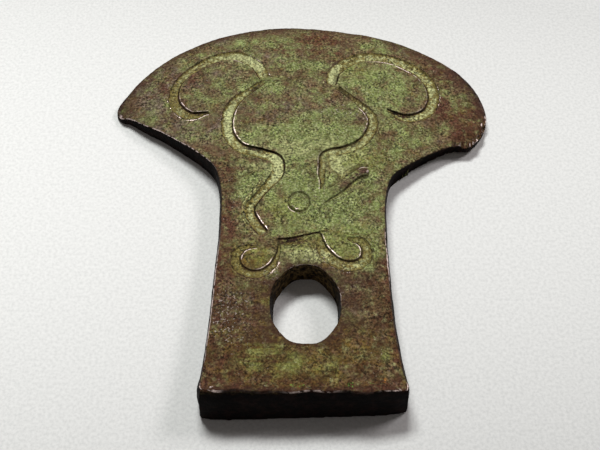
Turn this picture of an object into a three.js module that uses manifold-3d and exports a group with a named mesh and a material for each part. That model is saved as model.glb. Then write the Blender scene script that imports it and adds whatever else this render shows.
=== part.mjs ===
// A cast bronze axe head with a fan-shaped blade, lying on its flat back face.
// Millimetres. X runs across the blade, Y from the butt to the cutting edge, Z up from the floor.
// The origin is on the floor, at the middle of the length and the width.

import * as THREE from 'three';
import { mergeVertices } from 'three/addons/utils/BufferGeometryUtils.js';
import Module from 'manifold-3d';

// Thickness of the casting, measured up from the back face. It tapers evenly along the tang,
// faster over the blade, and grows again where the butt has been hammered.
const MIDDLE_THICKNESS = 7.5;
const TAPER_TO_EDGE = 0.04;
const TAPER_TO_RIGHT = 0.012;
const BLADE_THINNING = { startY: 0, endY: 70, loss: 1.5 };
const BUTT_THICKENING = { startY: -30, endY: -68, gain: 2 };
const EDGE_THICKNESS = 1.8;
const EDGE_SWELL = 0.2;
const EDGE_REACH = 11;

// The horns are hammered thinner than the tang, and the right one is bent up off the floor.
const HORN_START = 26;
const LEFT_HORN_THINNING = 0.36;
const RIGHT_HORN_THINNING = 0.5;
const BEND_START = 34;
const BEND_LIFT = 1.6;

// The cutting edge is close to the upper half of this oval.
const EDGE_HALF_WIDTH = 60;
const EDGE_RISE = 45.5;
const EDGE_MIDDLE_Y = 25;
const EDGE_FULLNESS = 2.1;

// The butt is mushroomed by hammering: a raised lip, a trough behind it and a swollen face.
const BUTT_Y = -67.9;
const BUTT_SWELL = 2.6;
const LIP = { y: -67.3, height: 0.5, spread: 0.9 };
const TROUGH = { y: -64.6, depth: 0.3, spread: 1.5 };

// The sides of the top arris, from the butt to the middle of the cutting edge.
// A point gives x, y, and how far the wall below it swells outwards.
const LEFT_SIDE = [
  [-25.6, BUTT_Y, 1.3],
  [-26.5, -66.4, 1.4],
  [-26.0, -61.5, 1.1],
  [-24.8, -45, 1],
  [-24.1, -30, 1],
  [-23.5, -15, 1],
  [-24.0, -1.5, 0.8],
  [-26.2, 7.2, 0.6],
  [-31.4, 13, 0.5],
  [-38.6, 18.6, 0.5],
  [-50, 26.5, 0.4],
  [-58.2, 29.4, 0.4],
  [-59.7, 33.6, 0.3],
  [-55.2, 43.2, 0.2],
  [-45.5, 54.6, 0.2],
  [-29.8, 64.7, 0.2],
  [-13.4, 69.5, 0.2],
  [-7.5, 70.3, 0.2],
];
const RIGHT_SIDE = [
  [26.9, BUTT_Y, 1.2],
  [27.8, -66.4, 1.3],
  [27.1, -61.5, 1.3],
  [25.4, -45, 1.2],
  [25.0, -30, 1],
  [24.8, -15, 0.9],
  [26.0, -1.5, 0.4],
  [28.4, 4.7, -0.2],
  [33.8, 9.3, -0.6],
  [40.4, 13.6, -0.6],
  [47.8, 16.7, -0.4],
  [55.2, 19.4, 0],
  [59.8, 28.6, 0.2],
  [57.9, 39.4, 0.2],
  [50.9, 50.4, 0.2],
  [33.3, 63, 0.2],
  [12, 68.5, 0.2],
  [-2, 70.2, 0.2],
];
const ROWS_PER_SPAN = 3;
const COLUMNS = 10;

// The section of the wall from the floor up: a share of the height, the share of a side's swell
// that it has there, and the share of the butt's swell.
const WALL_LEVELS = [
  [0, 0.55, 1],
  [0.12, 0.9, 0.99],
  [0.38, 1, 0.86],
  [0.74, 0.8, 0.52],
  [0.93, 0.42, 0.22],
  [1, 0, 0],
];

// The hafting hole: a rough octagon, longer than wide, that narrows towards the back.
const HOLE = {
  x: 1.3,
  y: -40.7,
  halfWidth: 10.4,
  halfLength: 13.1,
  narrowingAcross: 0.11,
  narrowingAlong: 0.04,
  sides: 24,
  flats: 8,
  flatness: 0.02,
};

// The carved lines. A point gives x, y and the line's width there.
// The steep wall is on the left or on the right of the way the line runs.
const STEEP_LEFT = 1;
const STEEP_RIGHT = -1;
const CARVED_LINES = {
  leftHornCurl: {
    depth: 0.9,
    steep: STEEP_RIGHT,
    path: [
      [-30, 29.8, 1],
      [-35.6, 29, 3],
      [-40.1, 33.3, 3.4],
      [-41.1, 38.6, 2.8],
      [-39.5, 44.2, 2.4],
      [-32.1, 51.6, 3],
      [-22.4, 55, 3.4],
      [-15.2, 50.6, 3.6],
      [-12.9, 44, 1.6],
    ],
  },
  leftHornFoot: {
    depth: 0.9,
    steep: STEEP_LEFT,
    path: [
      [-12.7, 42.4, 1.6],
      [-20.4, 35, 3],
      [-23, 28.4, 3.3],
      [-22.6, 21, 3.3],
      [-19, 15.4, 3.4],
      [-12, 13, 3.6],
      [-7.3, 10.6, 3.8],
      [-6.8, 5, 3.6],
      [-10.4, -0.8, 2.4],
      [-14.9, -8.4, 2.8],
      [-13.2, -13.5, 3],
      [-8.4, -17.8, 1],
    ],
  },
  rightHornCurl: {
    depth: 0.9,
    steep: STEEP_LEFT,
    path: [
      [28.2, 31.4, 1],
      [33.6, 28.6, 3],
      [40.4, 31, 3.4],
      [43.2, 38, 3.2],
      [40.6, 46.8, 3.3],
      [30, 54, 3.5],
      [19, 54, 3.4],
      [11.6, 48.2, 3.6],
      [11, 42, 2],
    ],
  },
  rightHornFoot: {
    depth: 0.9,
    steep: STEEP_RIGHT,
    path: [
      [12, 40.6, 1.4],
      [18.4, 34, 1.6],
      [22.8, 27.2, 2.8],
      [20, 18.8, 3],
      [10.2, 13.2, 3.2],
      [7, 6.4, 2.8],
      [6.9, -1, 1.8],
    ],
  },
  cheekHollow: {
    depth: 0.35,
    steep: STEEP_RIGHT,
    path: [
      [9.8, 12.4, 4],
      [11.7, 8.6, 6.4],
      [13.6, 5.2, 4.6],
    ],
  },
  earTop: {
    depth: 0.6,
    steep: STEEP_RIGHT,
    path: [
      [8.4, 2, 1],
      [14, 5.2, 1.8],
      [20.8, 8.4, 0.8],
    ],
  },
  earBelow: {
    depth: 0.6,
    steep: STEEP_RIGHT,
    path: [
      [20.4, 4.6, 0.8],
      [13.2, -1.6, 1.6],
      [5.6, -8, 1],
    ],
  },
  mouth: {
    depth: 0.8,
    steep: STEEP_LEFT,
    path: [
      [-6.8, -19.9, 2.4],
      [-2, -18.5, 2.2],
      [4, -18.5, 2.6],
    ],
  },
  leftWhisker: {
    depth: 0.8,
    steep: STEEP_LEFT,
    path: [
      [-12.2, -20.9, 1],
      [-17.4, -23.1, 2.4],
      [-17.4, -29, 3],
      [-10.4, -30.2, 2.6],
      [-6.2, -24.9, 2.6],
      [-6.2, -19.9, 2.2],
    ],
  },
  rightWhisker: {
    depth: 0.8,
    steep: STEEP_LEFT,
    path: [
      [4, -18.7, 2.6],
      [8.3, -24.7, 3],
      [14.6, -28, 3],
      [19.2, -23.9, 2.8],
      [13.8, -18.6, 1],
    ],
  },
};
const STEPS_PER_POINT = 4;
const FLOOR_SHARE = 0.42;
const FLOOR_LEAN = 0.17;

// The eye is a ring cut round a boss that is left standing.
const EYE = { x: -0.5, y: -5.7, halfWidth: 3.2, halfLength: 3.6, line: 1.3, depth: 0.7, sides: 20 };

// How far a cutter stands clear of the faces that it passes through.
const CLEAR = 1;

/** Eases from 0 to 1 as the share goes from 0 to 1. */
function ease(share) {
  const t = THREE.MathUtils.clamp(share, 0, 1);
  return t * t * (3 - 2 * t);
}

/** A smooth bump of height 1 at distance 0. */
function bump(distance, spread) {
  return Math.exp(-((distance / spread) ** 2));
}

/** Rough distance from a point on the blade to the cutting edge. */
function distanceFromEdge(x, y) {
  const across = Math.abs(x / EDGE_HALF_WIDTH) ** EDGE_FULLNESS;
  const along = Math.max(0, (y - EDGE_MIDDLE_Y) / EDGE_RISE) ** EDGE_FULLNESS;
  const share = (across + along) ** (1 / EDGE_FULLNESS);
  return Math.max(0, 1 - share) * 0.5 * (EDGE_HALF_WIDTH + EDGE_RISE);
}

/** Height of the back face above the floor: nothing, but for the bent right horn. */
function backHeight(x) {
  return BEND_LIFT * ease((x - BEND_START) / (EDGE_HALF_WIDTH - BEND_START));
}

/** Share of the way from one place along the casting to another, squared so that it starts gently. */
function gentleShare(y, { startY, endY }) {
  return THREE.MathUtils.clamp((y - startY) / (endY - startY), 0, 1) ** 2;
}

/** Height of the uncarved top face above the floor. */
function topHeight(x, y) {
  const gain = BUTT_THICKENING.gain * gentleShare(y, BUTT_THICKENING);
  const loss = BLADE_THINNING.loss * gentleShare(y, BLADE_THINNING);
  const wedge = MIDDLE_THICKNESS - TAPER_TO_EDGE * y - TAPER_TO_RIGHT * x + gain - loss;
  const thinning = x < 0 ? LEFT_HORN_THINNING : RIGHT_HORN_THINNING;
  const outwards = (Math.abs(x) - HORN_START) / (EDGE_HALF_WIDTH - HORN_START);
  const body = wedge * (1 - thinning * ease(outwards));
  const nearEdge = 1 - Math.min(1, distanceFromEdge(x, y) / EDGE_REACH);
  const blade = EDGE_THICKNESS + (body - EDGE_THICKNESS) * (1 - nearEdge * nearEdge);
  const lip = LIP.height * bump(y - LIP.y, LIP.spread);
  const trough = TROUGH.depth * bump(y - TROUGH.y, TROUGH.spread);
  return blade + lip - trough + backHeight(x);
}

/** Smooth curve through points that each hold three numbers. */
function curveThrough(points) {
  return new THREE.CatmullRomCurve3(points.map((p) => new THREE.Vector3(...p)), false, 'centripetal');
}

/** Points along one side, each with the direction that leads out of the casting there. */
function sideStations(side, outwardSign) {
  const curve = curveThrough(side);
  const rows = (side.length - 1) * ROWS_PER_SPAN;
  const stations = [];
  for (let row = 0; row <= rows; row += 1) {
    const point = curve.getPoint(row / rows);
    const tangent = curve.getTangent(row / rows);
    const outward = new THREE.Vector2(tangent.y, -tangent.x).multiplyScalar(outwardSign).normalize();
    stations.push({ x: point.x, y: point.y, swell: point.z, outward });
  }
  return stations;
}

/** Moves every vertex of a three.js geometry and leaves it with positions alone. */
function reshape(geometry, place) {
  const position = geometry.attributes.position;
  for (let i = 0; i < position.count; i += 1) {
    const spot = place(position.getX(i), position.getY(i), position.getZ(i));
    position.setXYZ(i, ...spot);
  }
  geometry.deleteAttribute('normal');
  geometry.deleteAttribute('uv');
  return mergeVertices(geometry, 1e-4);
}

/** The uncarved casting: a box with its six faces bent to the outline and the thickness. */
function castingGeometry() {
  const left = sideStations(LEFT_SIDE, -1);
  const right = sideStations(RIGHT_SIDE, 1);
  const rows = left.length - 1;
  const levels = WALL_LEVELS.length - 1;
  const box = new THREE.BoxGeometry(1, 1, 1, COLUMNS, rows, levels);
  return reshape(box, (boxX, boxY, boxZ) => {
    const across = 0.5 - 0.5 * Math.cos(Math.PI * (boxX + 0.5));
    const row = Math.round((boxY + 0.5) * rows);
    const [heightShare, sideShare, buttShare] = WALL_LEVELS[Math.round((boxZ + 0.5) * levels)];
    const x = THREE.MathUtils.lerp(left[row].x, right[row].x, across);
    const y = THREE.MathUtils.lerp(left[row].y, right[row].y, across);
    const push = new THREE.Vector2();
    if (boxX === -0.5) push.copy(left[row].outward).multiplyScalar(left[row].swell * sideShare);
    if (boxX === 0.5) push.copy(right[row].outward).multiplyScalar(right[row].swell * sideShare);
    if (row === 0) push.y = -BUTT_SWELL * buttShare;
    if (row === rows) push.y = EDGE_SWELL * sideShare;
    const back = backHeight(x);
    const height = (topHeight(x, y) - back) * heightShare;
    return [x + push.x, y + push.y, back + height];
  });
}

/** The cutter of the hafting hole. */
function holeGeometry() {
  const tall = topHeight(HOLE.x, HOLE.y - HOLE.halfLength) + 2 * CLEAR;
  const rod = new THREE.CylinderGeometry(1, 1, 1, HOLE.sides, 1);
  rod.rotateX(Math.PI / 2);
  return reshape(rod, (rodX, rodY, rodZ) => {
    const angle = Math.atan2(rodY, rodX);
    const flats = 1 - HOLE.flatness * Math.cos(HOLE.flats * angle);
    const across = rodZ > 0 ? 1 : 1 - HOLE.narrowingAcross;
    const along = rodZ > 0 ? 1 : 1 - HOLE.narrowingAlong;
    return [
      HOLE.x + HOLE.halfWidth * flats * across * rodX,
      HOLE.y + HOLE.halfLength * flats * along * rodY,
      rodZ * tall + 0.5 * tall - CLEAR,
    ];
  });
}

/** The cutter of one carved line: a bar bent along its path, with a floor that leans to one wall. */
function lineGeometry({ path, depth, steep }) {
  const curve = curveThrough(path);
  const steps = (path.length - 1) * STEPS_PER_POINT;
  const bar = new THREE.BoxGeometry(1, 1, 1, 1, steps, 1);
  return reshape(bar, (barX, barY, barZ) => {
    const point = curve.getPoint(barY + 0.5);
    const tangent = curve.getTangent(barY + 0.5);
    const leftwards = new THREE.Vector2(-tangent.y, tangent.x).normalize();
    const width = point.z;
    const floor = -barX * FLOOR_SHARE * width + steep * FLOOR_LEAN * width;
    const mouth = -barX * width;
    const offset = barZ < 0 ? floor : mouth + (mouth - floor) * (CLEAR / depth);
    const surface = topHeight(point.x, point.y);
    return [
      point.x + leftwards.x * offset,
      point.y + leftwards.y * offset,
      barZ < 0 ? surface - depth : surface + CLEAR,
    ];
  });
}

/** The cutter of the eye: a ring of diamond section, whose lower corner is the floor. */
function eyeGeometry() {
  const thickness = EYE.line * 0.5 * (1 + CLEAR / EYE.depth);
  const ring = new THREE.TorusGeometry(1, 0.5, 4, EYE.sides);
  return reshape(ring, (ringX, ringY, ringZ) => {
    const angle = Math.atan2(ringY, ringX);
    const radius = 2 * (Math.hypot(ringX, ringY) - 1) * thickness;
    const x = EYE.x + Math.cos(angle) * (EYE.halfWidth + radius);
    const y = EYE.y + Math.sin(angle) * (EYE.halfLength + radius);
    const surface = topHeight(EYE.x, EYE.y);
    const isFloor = ringZ < -0.25;
    const isCrown = ringZ > 0.25;
    return [x, y, surface + (isFloor ? -EYE.depth : CLEAR) + (isCrown ? CLEAR : 0)];
  });
}

const wasm = await Module();
wasm.setup();

/** Makes a solid of a closed geometry. */
function toSolid(geometry) {
  return new wasm.Manifold(new wasm.Mesh({
    numProp: 3,
    vertProperties: new Float32Array(geometry.attributes.position.array),
    triVerts: new Uint32Array(geometry.index.array),
  }));
}

/** Makes a geometry of a solid. */
function toGeometry(solid) {
  const mesh = solid.getMesh();
  const geometry = new THREE.BufferGeometry();
  geometry.setAttribute('position', new THREE.Float32BufferAttribute(mesh.vertProperties, 3));
  geometry.setIndex(Array.from(mesh.triVerts));
  geometry.computeVertexNormals();
  return geometry;
}

/** The whole axe head: one casting with its hole and its carving. */
function axeHead() {
  let solid = toSolid(castingGeometry()).subtract(toSolid(holeGeometry()));
  for (const line of Object.values(CARVED_LINES)) {
    solid = solid.subtract(toSolid(lineGeometry(line)));
  }
  solid = solid.subtract(toSolid(eyeGeometry()));
  const bronze = new THREE.MeshStandardMaterial({ color: 0x5c5f3d, roughness: 0.62, metalness: 0.45 });
  const mesh = new THREE.Mesh(toGeometry(solid), bronze);
  mesh.name = 'axe_head';
  return mesh;
}

const model = new THREE.Group();
model.add(axeHead());

export default model;
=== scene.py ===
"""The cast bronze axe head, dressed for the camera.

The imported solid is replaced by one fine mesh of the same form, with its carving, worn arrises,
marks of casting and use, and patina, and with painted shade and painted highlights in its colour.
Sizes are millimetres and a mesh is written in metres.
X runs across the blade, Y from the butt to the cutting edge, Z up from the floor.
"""

from __future__ import annotations

import logging
import math
from dataclasses import dataclass, field
from enum import Enum
from typing import Any, Sequence

import bpy
import numpy as np
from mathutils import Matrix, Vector

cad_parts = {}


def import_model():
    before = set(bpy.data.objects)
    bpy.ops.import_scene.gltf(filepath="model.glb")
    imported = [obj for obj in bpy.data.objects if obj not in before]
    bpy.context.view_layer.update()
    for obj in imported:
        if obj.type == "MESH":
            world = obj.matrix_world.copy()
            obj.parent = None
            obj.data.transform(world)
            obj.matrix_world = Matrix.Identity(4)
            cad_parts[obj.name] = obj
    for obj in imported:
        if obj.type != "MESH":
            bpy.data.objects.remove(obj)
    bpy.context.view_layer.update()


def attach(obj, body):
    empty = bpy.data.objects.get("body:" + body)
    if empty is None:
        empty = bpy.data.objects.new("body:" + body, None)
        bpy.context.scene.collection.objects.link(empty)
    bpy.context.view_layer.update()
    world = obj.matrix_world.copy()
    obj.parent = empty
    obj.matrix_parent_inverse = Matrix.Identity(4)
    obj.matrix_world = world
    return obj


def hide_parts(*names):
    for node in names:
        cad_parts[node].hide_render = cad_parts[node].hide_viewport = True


LOG = logging.getLogger("axe_head")
MM = 0.001

Array = np.ndarray
Colour = tuple[float, float, float]
Band = tuple[float, float, float]


def ease(share: Array) -> Array:
    """Ease from 0 to 1 as the share goes from 0 to 1."""
    t = np.clip(share, 0.0, 1.0)
    return t * t * (3.0 - 2.0 * t)


def bump(distance: Array, spread: float) -> Array:
    """Make a smooth bump of height 1 at distance 0."""
    return np.exp(-((distance / spread) ** 2))


def smooth_curve(points: Sequence[Sequence[float]], shares: Array) -> Array:
    """Follow a centripetal Catmull-Rom curve through points.

    Args:
        points: Places on the curve, each with the same number of values.
        shares: Where to read the curve, from 0 at its first point to 1 at its last.

    Returns:
        One row of values for each share.
    """
    given = np.asarray(points, dtype=float)
    padded = np.vstack([2 * given[0] - given[1], given, 2 * given[-1] - given[-2]])
    spans = len(given) - 1
    span = np.clip((shares * spans).astype(int), 0, spans - 1)
    t = (shares * spans - span)[:, None]
    before, start, end, after = (padded[span + step] for step in range(4))
    knot_in = np.sqrt(np.linalg.norm(start - before, axis=1))[:, None]
    knot = np.sqrt(np.linalg.norm(end - start, axis=1))[:, None]
    knot_out = np.sqrt(np.linalg.norm(after - end, axis=1))[:, None]
    chord = (end - start) / knot
    leave = ((start - before) / knot_in - (end - before) / (knot_in + knot) + chord) * knot
    arrive = (chord - (after - start) / (knot + knot_out) + (after - end) / knot_out) * knot
    rise = end - start
    return start + leave * t + (3 * rise - 2 * leave - arrive) * t**2 + (leave + arrive - 2 * rise) * t**3


def read_points(piece: bpy.types.Object) -> Array:
    """Read a mesh's vertices, in millimetres."""
    flat = np.empty(len(piece.data.vertices) * 3)
    piece.data.vertices.foreach_get("co", flat)
    return flat.reshape(-1, 3) / MM


def write_points(piece: bpy.types.Object, points: Array) -> None:
    """Write a mesh's vertices, given in millimetres."""
    piece.data.vertices.foreach_set("co", (points * MM).ravel())
    piece.data.update()


def read_normals(piece: bpy.types.Object) -> Array:
    """Read the normals of a mesh's vertices."""
    flat = np.empty(len(piece.data.vertices) * 3)
    piece.data.vertex_normals.foreach_get("vector", flat)
    return flat.reshape(-1, 3)


def select_only(piece: bpy.types.Object) -> None:
    """Make one object the only selected one, and the active one."""
    bpy.ops.object.select_all(action="DESELECT")
    piece.select_set(True)
    bpy.context.view_layer.objects.active = piece


def finish_with(piece: bpy.types.Object, kind: str, **settings: Any) -> None:
    """Add a modifier to a piece, set it and apply it.

    Args:
        piece: The object to change.
        kind: Blender's name of the modifier.
        **settings: Values of the modifier's own properties.
    """
    select_only(piece)
    bpy.ops.object.modifier_add(type=kind)
    modifier = piece.modifiers[-1]
    for name, value in settings.items():
        setattr(modifier, name, value)
    bpy.ops.object.modifier_apply(modifier=modifier.name)


@dataclass(frozen=True)
class Ramp:
    """A change that grows from nothing at one place along the casting to its full amount at another."""

    start: float
    end: float
    amount: float

    def at(self, y: Array) -> Array:
        """Read the change at places along the casting."""
        return self.amount * np.clip((y - self.start) / (self.end - self.start), 0.0, 1.0) ** 2


@dataclass(frozen=True)
class Ridge:
    """A low ridge or trough that runs across the tang."""

    y: float
    height: float
    spread: float

    def at(self, y: Array) -> Array:
        """Read its height at places along the casting."""
        return self.height * bump(y - self.y, self.spread)


@dataclass(frozen=True)
class CuttingEdge:
    """The cutting edge, which is close to the upper half of an oval."""

    half_width: float = 60.0
    rise: float = 45.5
    middle_y: float = 25.0
    fullness: float = 2.1
    thickness: float = 1.8
    reach: float = 11.0

    def distance(self, x: Array, y: Array) -> Array:
        """Estimate how far points lie inside the cutting edge.

        Args:
            x: Places across the blade.
            y: Places along it.

        Returns:
            The distances, in millimetres; 0 at the edge and past it.
        """
        across = np.abs(x / self.half_width) ** self.fullness
        along = np.maximum(0.0, (y - self.middle_y) / self.rise) ** self.fullness
        share = (across + along) ** (1.0 / self.fullness)
        return np.maximum(0.0, 1.0 - share) * 0.5 * (self.half_width + self.rise)


@dataclass(frozen=True)
class Thickness:
    """How thick the casting is, measured up from its back face."""

    middle: float = 7.5
    taper_to_edge: float = 0.04
    taper_to_right: float = 0.012
    butt_gain: Ramp = Ramp(start=-30.0, end=-68.0, amount=2.0)
    blade_loss: Ramp = Ramp(start=0.0, end=70.0, amount=1.5)
    horn_start: float = 20.0
    left_thinning: float = 0.4
    right_thinning: float = 0.5
    bend_start: float = 34.0
    bend_lift: float = 1.6
    edge: CuttingEdge = CuttingEdge()
    lip: Ridge = Ridge(y=-67.3, height=0.2, spread=0.8)
    trough: Ridge = Ridge(y=-64.6, height=-0.16, spread=1.5)

    def back_height(self, x: Array) -> Array:
        """Read how far the back face is off the floor: only the right horn is bent up."""
        return self.bend_lift * ease((x - self.bend_start) / (self.edge.half_width - self.bend_start))

    def top_height(self, x: Array, y: Array) -> Array:
        """Read how high the uncarved face is above the floor.

        Args:
            x: Places across the casting.
            y: Places along it.

        Returns:
            The heights, in millimetres.
        """
        wedge = self.middle - self.taper_to_edge * y - self.taper_to_right * x
        wedge = wedge + self.butt_gain.at(y) - self.blade_loss.at(y)
        thinning = np.where(x < 0.0, self.left_thinning, self.right_thinning)
        outwards = (np.abs(x) - self.horn_start) / (self.edge.half_width - self.horn_start)
        body = wedge * (1.0 - thinning * ease(outwards))
        near_edge = 1.0 - np.minimum(1.0, self.edge.distance(x, y) / self.edge.reach)
        blade = self.edge.thickness + (body - self.edge.thickness) * (1.0 - near_edge**2)
        return blade + self.lip.at(y) + self.trough.at(y) + self.back_height(x)


@dataclass(frozen=True)
class Outline:
    """The outline of the face. A point gives x, y and how far the wall below it swells outwards."""

    left: Sequence[Sequence[float]] = (
        (-26.2, -67.1, 1.0),
        (-26.5, -66.4, 1.4),
        (-26.0, -61.5, 1.1),
        (-24.8, -45.0, 1.0),
        (-24.1, -30.0, 1.0),
        (-23.5, -15.0, 1.0),
        (-24.0, -1.5, 0.8),
        (-26.2, 7.2, 0.6),
        (-31.4, 13.0, 0.5),
        (-38.6, 18.6, 0.5),
        (-44.3, 22.7, 0.5),
        (-50.0, 25.9, 0.4),
        (-55.2, 29.3, 0.4),
        (-58.3, 30.4, 0.4),
        (-59.7, 33.4, 0.3),
        (-55.2, 43.2, 0.2),
        (-45.5, 54.6, 0.2),
        (-29.8, 64.7, 0.2),
        (-13.4, 69.5, 0.2),
        (-7.5, 70.3, 0.2),
    )
    right: Sequence[Sequence[float]] = (
        (28.0, -67.1, 0.7),
        (28.2, -65.9, 1.0),
        (27.1, -61.5, 1.3),
        (25.4, -45.0, 1.2),
        (25.0, -30.0, 1.0),
        (24.8, -15.0, 0.9),
        (26.0, -1.5, 0.4),
        (28.4, 4.7, -0.2),
        (33.8, 9.3, -0.6),
        (40.4, 13.6, -0.6),
        (47.2, 16.9, -0.4),
        (50.0, 17.4, -0.2),
        (52.4, 17.1, 0.0),
        (56.1, 20.0, 0.1),
        (59.8, 28.6, 0.2),
        (57.9, 39.4, 0.2),
        (50.9, 50.4, 0.2),
        (33.3, 63.0, 0.2),
        (12.0, 68.5, 0.2),
        (-2.0, 70.2, 0.2),
    )
    butt_swell: float = 2.9
    butt_swell_to_right: float = 0.03
    butt_bow: float = 0.8
    butt_wave: float = 0.2
    butt_wave_lengths: Sequence[float] = (23.0, 9.7)
    edge_swell: float = 0.2
    wall_heights: Sequence[float] = (0.0, 0.12, 0.38, 0.74, 0.93, 1.0)
    side_swell_shares: Sequence[float] = (0.75, 1.05, 1.0, 0.78, 0.4, 0.0)
    butt_swell_shares: Sequence[float] = (1.0, 0.99, 0.86, 0.52, 0.22, 0.0)

    def side(self, points: Sequence[Sequence[float]], shares: Array, outwards: float) -> tuple[Array, Array]:
        """Follow one side of the face.

        Args:
            points: The side's own points.
            shares: Where along the side, from 0 at the butt to 1 at the cutting edge.
            outwards: -1 for the left side and 1 for the right side.

        Returns:
            Places with their swell, and the directions that lead out of the casting there.
        """
        step = 1e-3
        ahead = smooth_curve(points, np.clip(shares + step, 0.0, 1.0))
        behind = smooth_curve(points, np.clip(shares - step, 0.0, 1.0))
        tangent = (ahead - behind)[:, :2]
        tangent /= np.linalg.norm(tangent, axis=1)[:, None]
        outward = np.column_stack([tangent[:, 1], -tangent[:, 0]]) * outwards
        return smooth_curve(points, shares), outward


@dataclass(frozen=True)
class HaftingHole:
    """The rough octagon through the tang, longer than wide, that narrows towards the back."""

    x: float = 1.3
    y: float = -40.7
    half_width: float = 10.4
    half_length: float = 13.1
    narrowing_across: float = 0.11
    narrowing_along: float = 0.04
    flats: int = 8
    flatness: float = 0.009
    unevenness: float = 0.007
    uneven_waves: float = 5.0
    uneven_turn: float = 0.7
    sides: int = 96
    reach_below: float = -2.0
    reach_above: float = 16.0

    def past_rim(self, points: Array) -> Array:
        """Estimate how far points of the face lie outside the hole."""
        across = (points[:, 0] - self.x) / self.half_width
        along = (points[:, 1] - self.y) / self.half_length
        return (np.hypot(across, along) - 1.0) * 0.5 * (self.half_width + self.half_length)

    def bend(self, points: Array) -> Array:
        """Bend an upright rod of radius 1 and height 1 to the hole.

        Args:
            points: The rod's vertices, with its middle at 0.

        Returns:
            The cutter's vertices, in millimetres.
        """
        angle = np.arctan2(points[:, 1], points[:, 0])
        uneven = self.unevenness * np.sin(self.uneven_waves * angle + self.uneven_turn)
        flats = 1.0 - self.flatness * np.cos(self.flats * angle) + uneven
        low = points[:, 2] < 0.0
        across = np.where(low, 1.0 - self.narrowing_across, 1.0)
        along = np.where(low, 1.0 - self.narrowing_along, 1.0)
        return np.column_stack([
            self.x + self.half_width * flats * across * points[:, 0],
            self.y + self.half_length * flats * along * points[:, 1],
            np.where(low, self.reach_below, self.reach_above),
        ])


class Steep(Enum):
    """The side of a carved line that has the steep wall, seen along the way the line runs."""

    LEFT = 1.0
    RIGHT = -1.0


@dataclass(frozen=True)
class CarvedLine:
    """One line of the carving. A point of its path gives x, y and the line's width there."""

    name: str
    depth: float
    steep: Steep
    path: Sequence[Sequence[float]]
    earth: float = 1.0
    darkness: float = 1.0
    wall: float = 0.24
    spill: float = 0.5
    blunt_width: float = 2.2
    sharp_width: float = 1.1
    shallowing: float = 0.7
    samples_per_point: int = 24

    def measure(self, points: Array, reach: float) -> tuple[Array, Array, Array, Array, Array]:
        """Find how points of the face lie to the line.

        Args:
            points: Places on the face, one row each.
            reach: How far from the path a point may be.

        Returns:
            The rows that are within reach, and for each: how far it is past the steep arris, the
            line's width, how far it is past an end, and the direction towards the steep side.
        """
        samples = smooth_curve(self.path, np.linspace(0.0, 1.0, self.samples_per_point * len(self.path)))
        centre, width = samples[:, :2], samples[:, 2]
        low, high = centre.min(axis=0) - reach, centre.max(axis=0) + reach
        near = np.nonzero(np.all((points[:, :2] > low) & (points[:, :2] < high), axis=1))[0]
        spot = points[near, :2]
        gaps = ((spot[:, None, :] - centre[None, :, :]) ** 2).sum(axis=2)
        nearest = gaps.argmin(axis=1)
        tangent = np.gradient(centre, axis=0)
        tangent /= np.linalg.norm(tangent, axis=1)[:, None]
        towards = np.column_stack([-tangent[:, 1], tangent[:, 0]]) * self.steep.value
        offset = spot - centre[nearest]
        aside = np.einsum("ij,ij->i", offset, towards[nearest])
        along = np.einsum("ij,ij->i", offset, tangent[nearest])
        first, last = nearest == 0, nearest == len(centre) - 1
        past_end = np.where(first, np.maximum(0.0, -along), np.where(last, np.maximum(0.0, along), 0.0))
        kept = np.sqrt(gaps[np.arange(len(near)), nearest]) < reach
        cut = width[nearest]
        spread = cut + self.spill * np.clip(cut / self.blunt_width, 0.0, 1.0)
        return near[kept], (aside - 0.5 * cut)[kept], spread[kept], past_end[kept], towards[nearest][kept]

    def fade(self, width: Array, past_end: Array) -> Array:
        """Make the line shallower where it is narrow, and end it past its ends."""
        full = np.clip(width / self.blunt_width, 0.0, 1.0) ** self.shallowing
        return full * self.presence(width, past_end)

    def presence(self, width: Array, past_end: Array) -> Array:
        """Say where the line is, from 0 past its ends to 1."""
        ending = ease(past_end / (0.4 * width + 0.2))
        return np.clip(width / self.sharp_width, 0.0, 1.0) * (1.0 - ending)

    def section(self, past_arris: Array, width: Array) -> Array:
        """Read the depth of the line's section as a share: a slope, a floor and a steep wall."""
        share = 1.0 + 2.0 * past_arris / width
        slope = 0.7 * ease((share + 1.0) / 0.4) + 0.3 * ease((share + 0.4) / 0.9)
        return slope * (1.0 - ease(1.0 + past_arris / self.wall))


@dataclass(frozen=True)
class Eye:
    """The eye: a ring cut round a boss that is left standing."""

    x: float = -0.5
    y: float = -5.7
    half_width: float = 3.2
    half_length: float = 3.6
    line: float = 1.1
    depth: float = 0.5
    darkness: float = 0.6
    earth: float = 0.3
    reach: float = 1.4

    def past_ring(self, points: Array) -> Array:
        """Find how far points lie outside the middle of the ring."""
        across = (points[:, 0] - self.x) / self.half_width
        along = (points[:, 1] - self.y) / self.half_length
        return (np.hypot(across, along) - 1.0) * 0.5 * (self.half_width + self.half_length)


@dataclass(frozen=True)
class Mark:
    """A small mark: a straight scratch, or a pit where both ends are the same."""

    start: tuple[float, float]
    end: tuple[float, float]
    spread: float
    depth: float

    def depth_at(self, points: Array) -> Array:
        """Read its depth at places on the face.

        Args:
            points: Places on the face, one row each.

        Returns:
            The depths, in millimetres.
        """
        way = np.subtract(self.end, self.start)
        offset = points[:, :2] - np.asarray(self.start)
        share = np.clip(offset @ way / max(float(way @ way), 1e-9), 0.0, 1.0)
        return self.depth * bump(np.linalg.norm(offset - share[:, None] * way, axis=1), self.spread)


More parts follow.
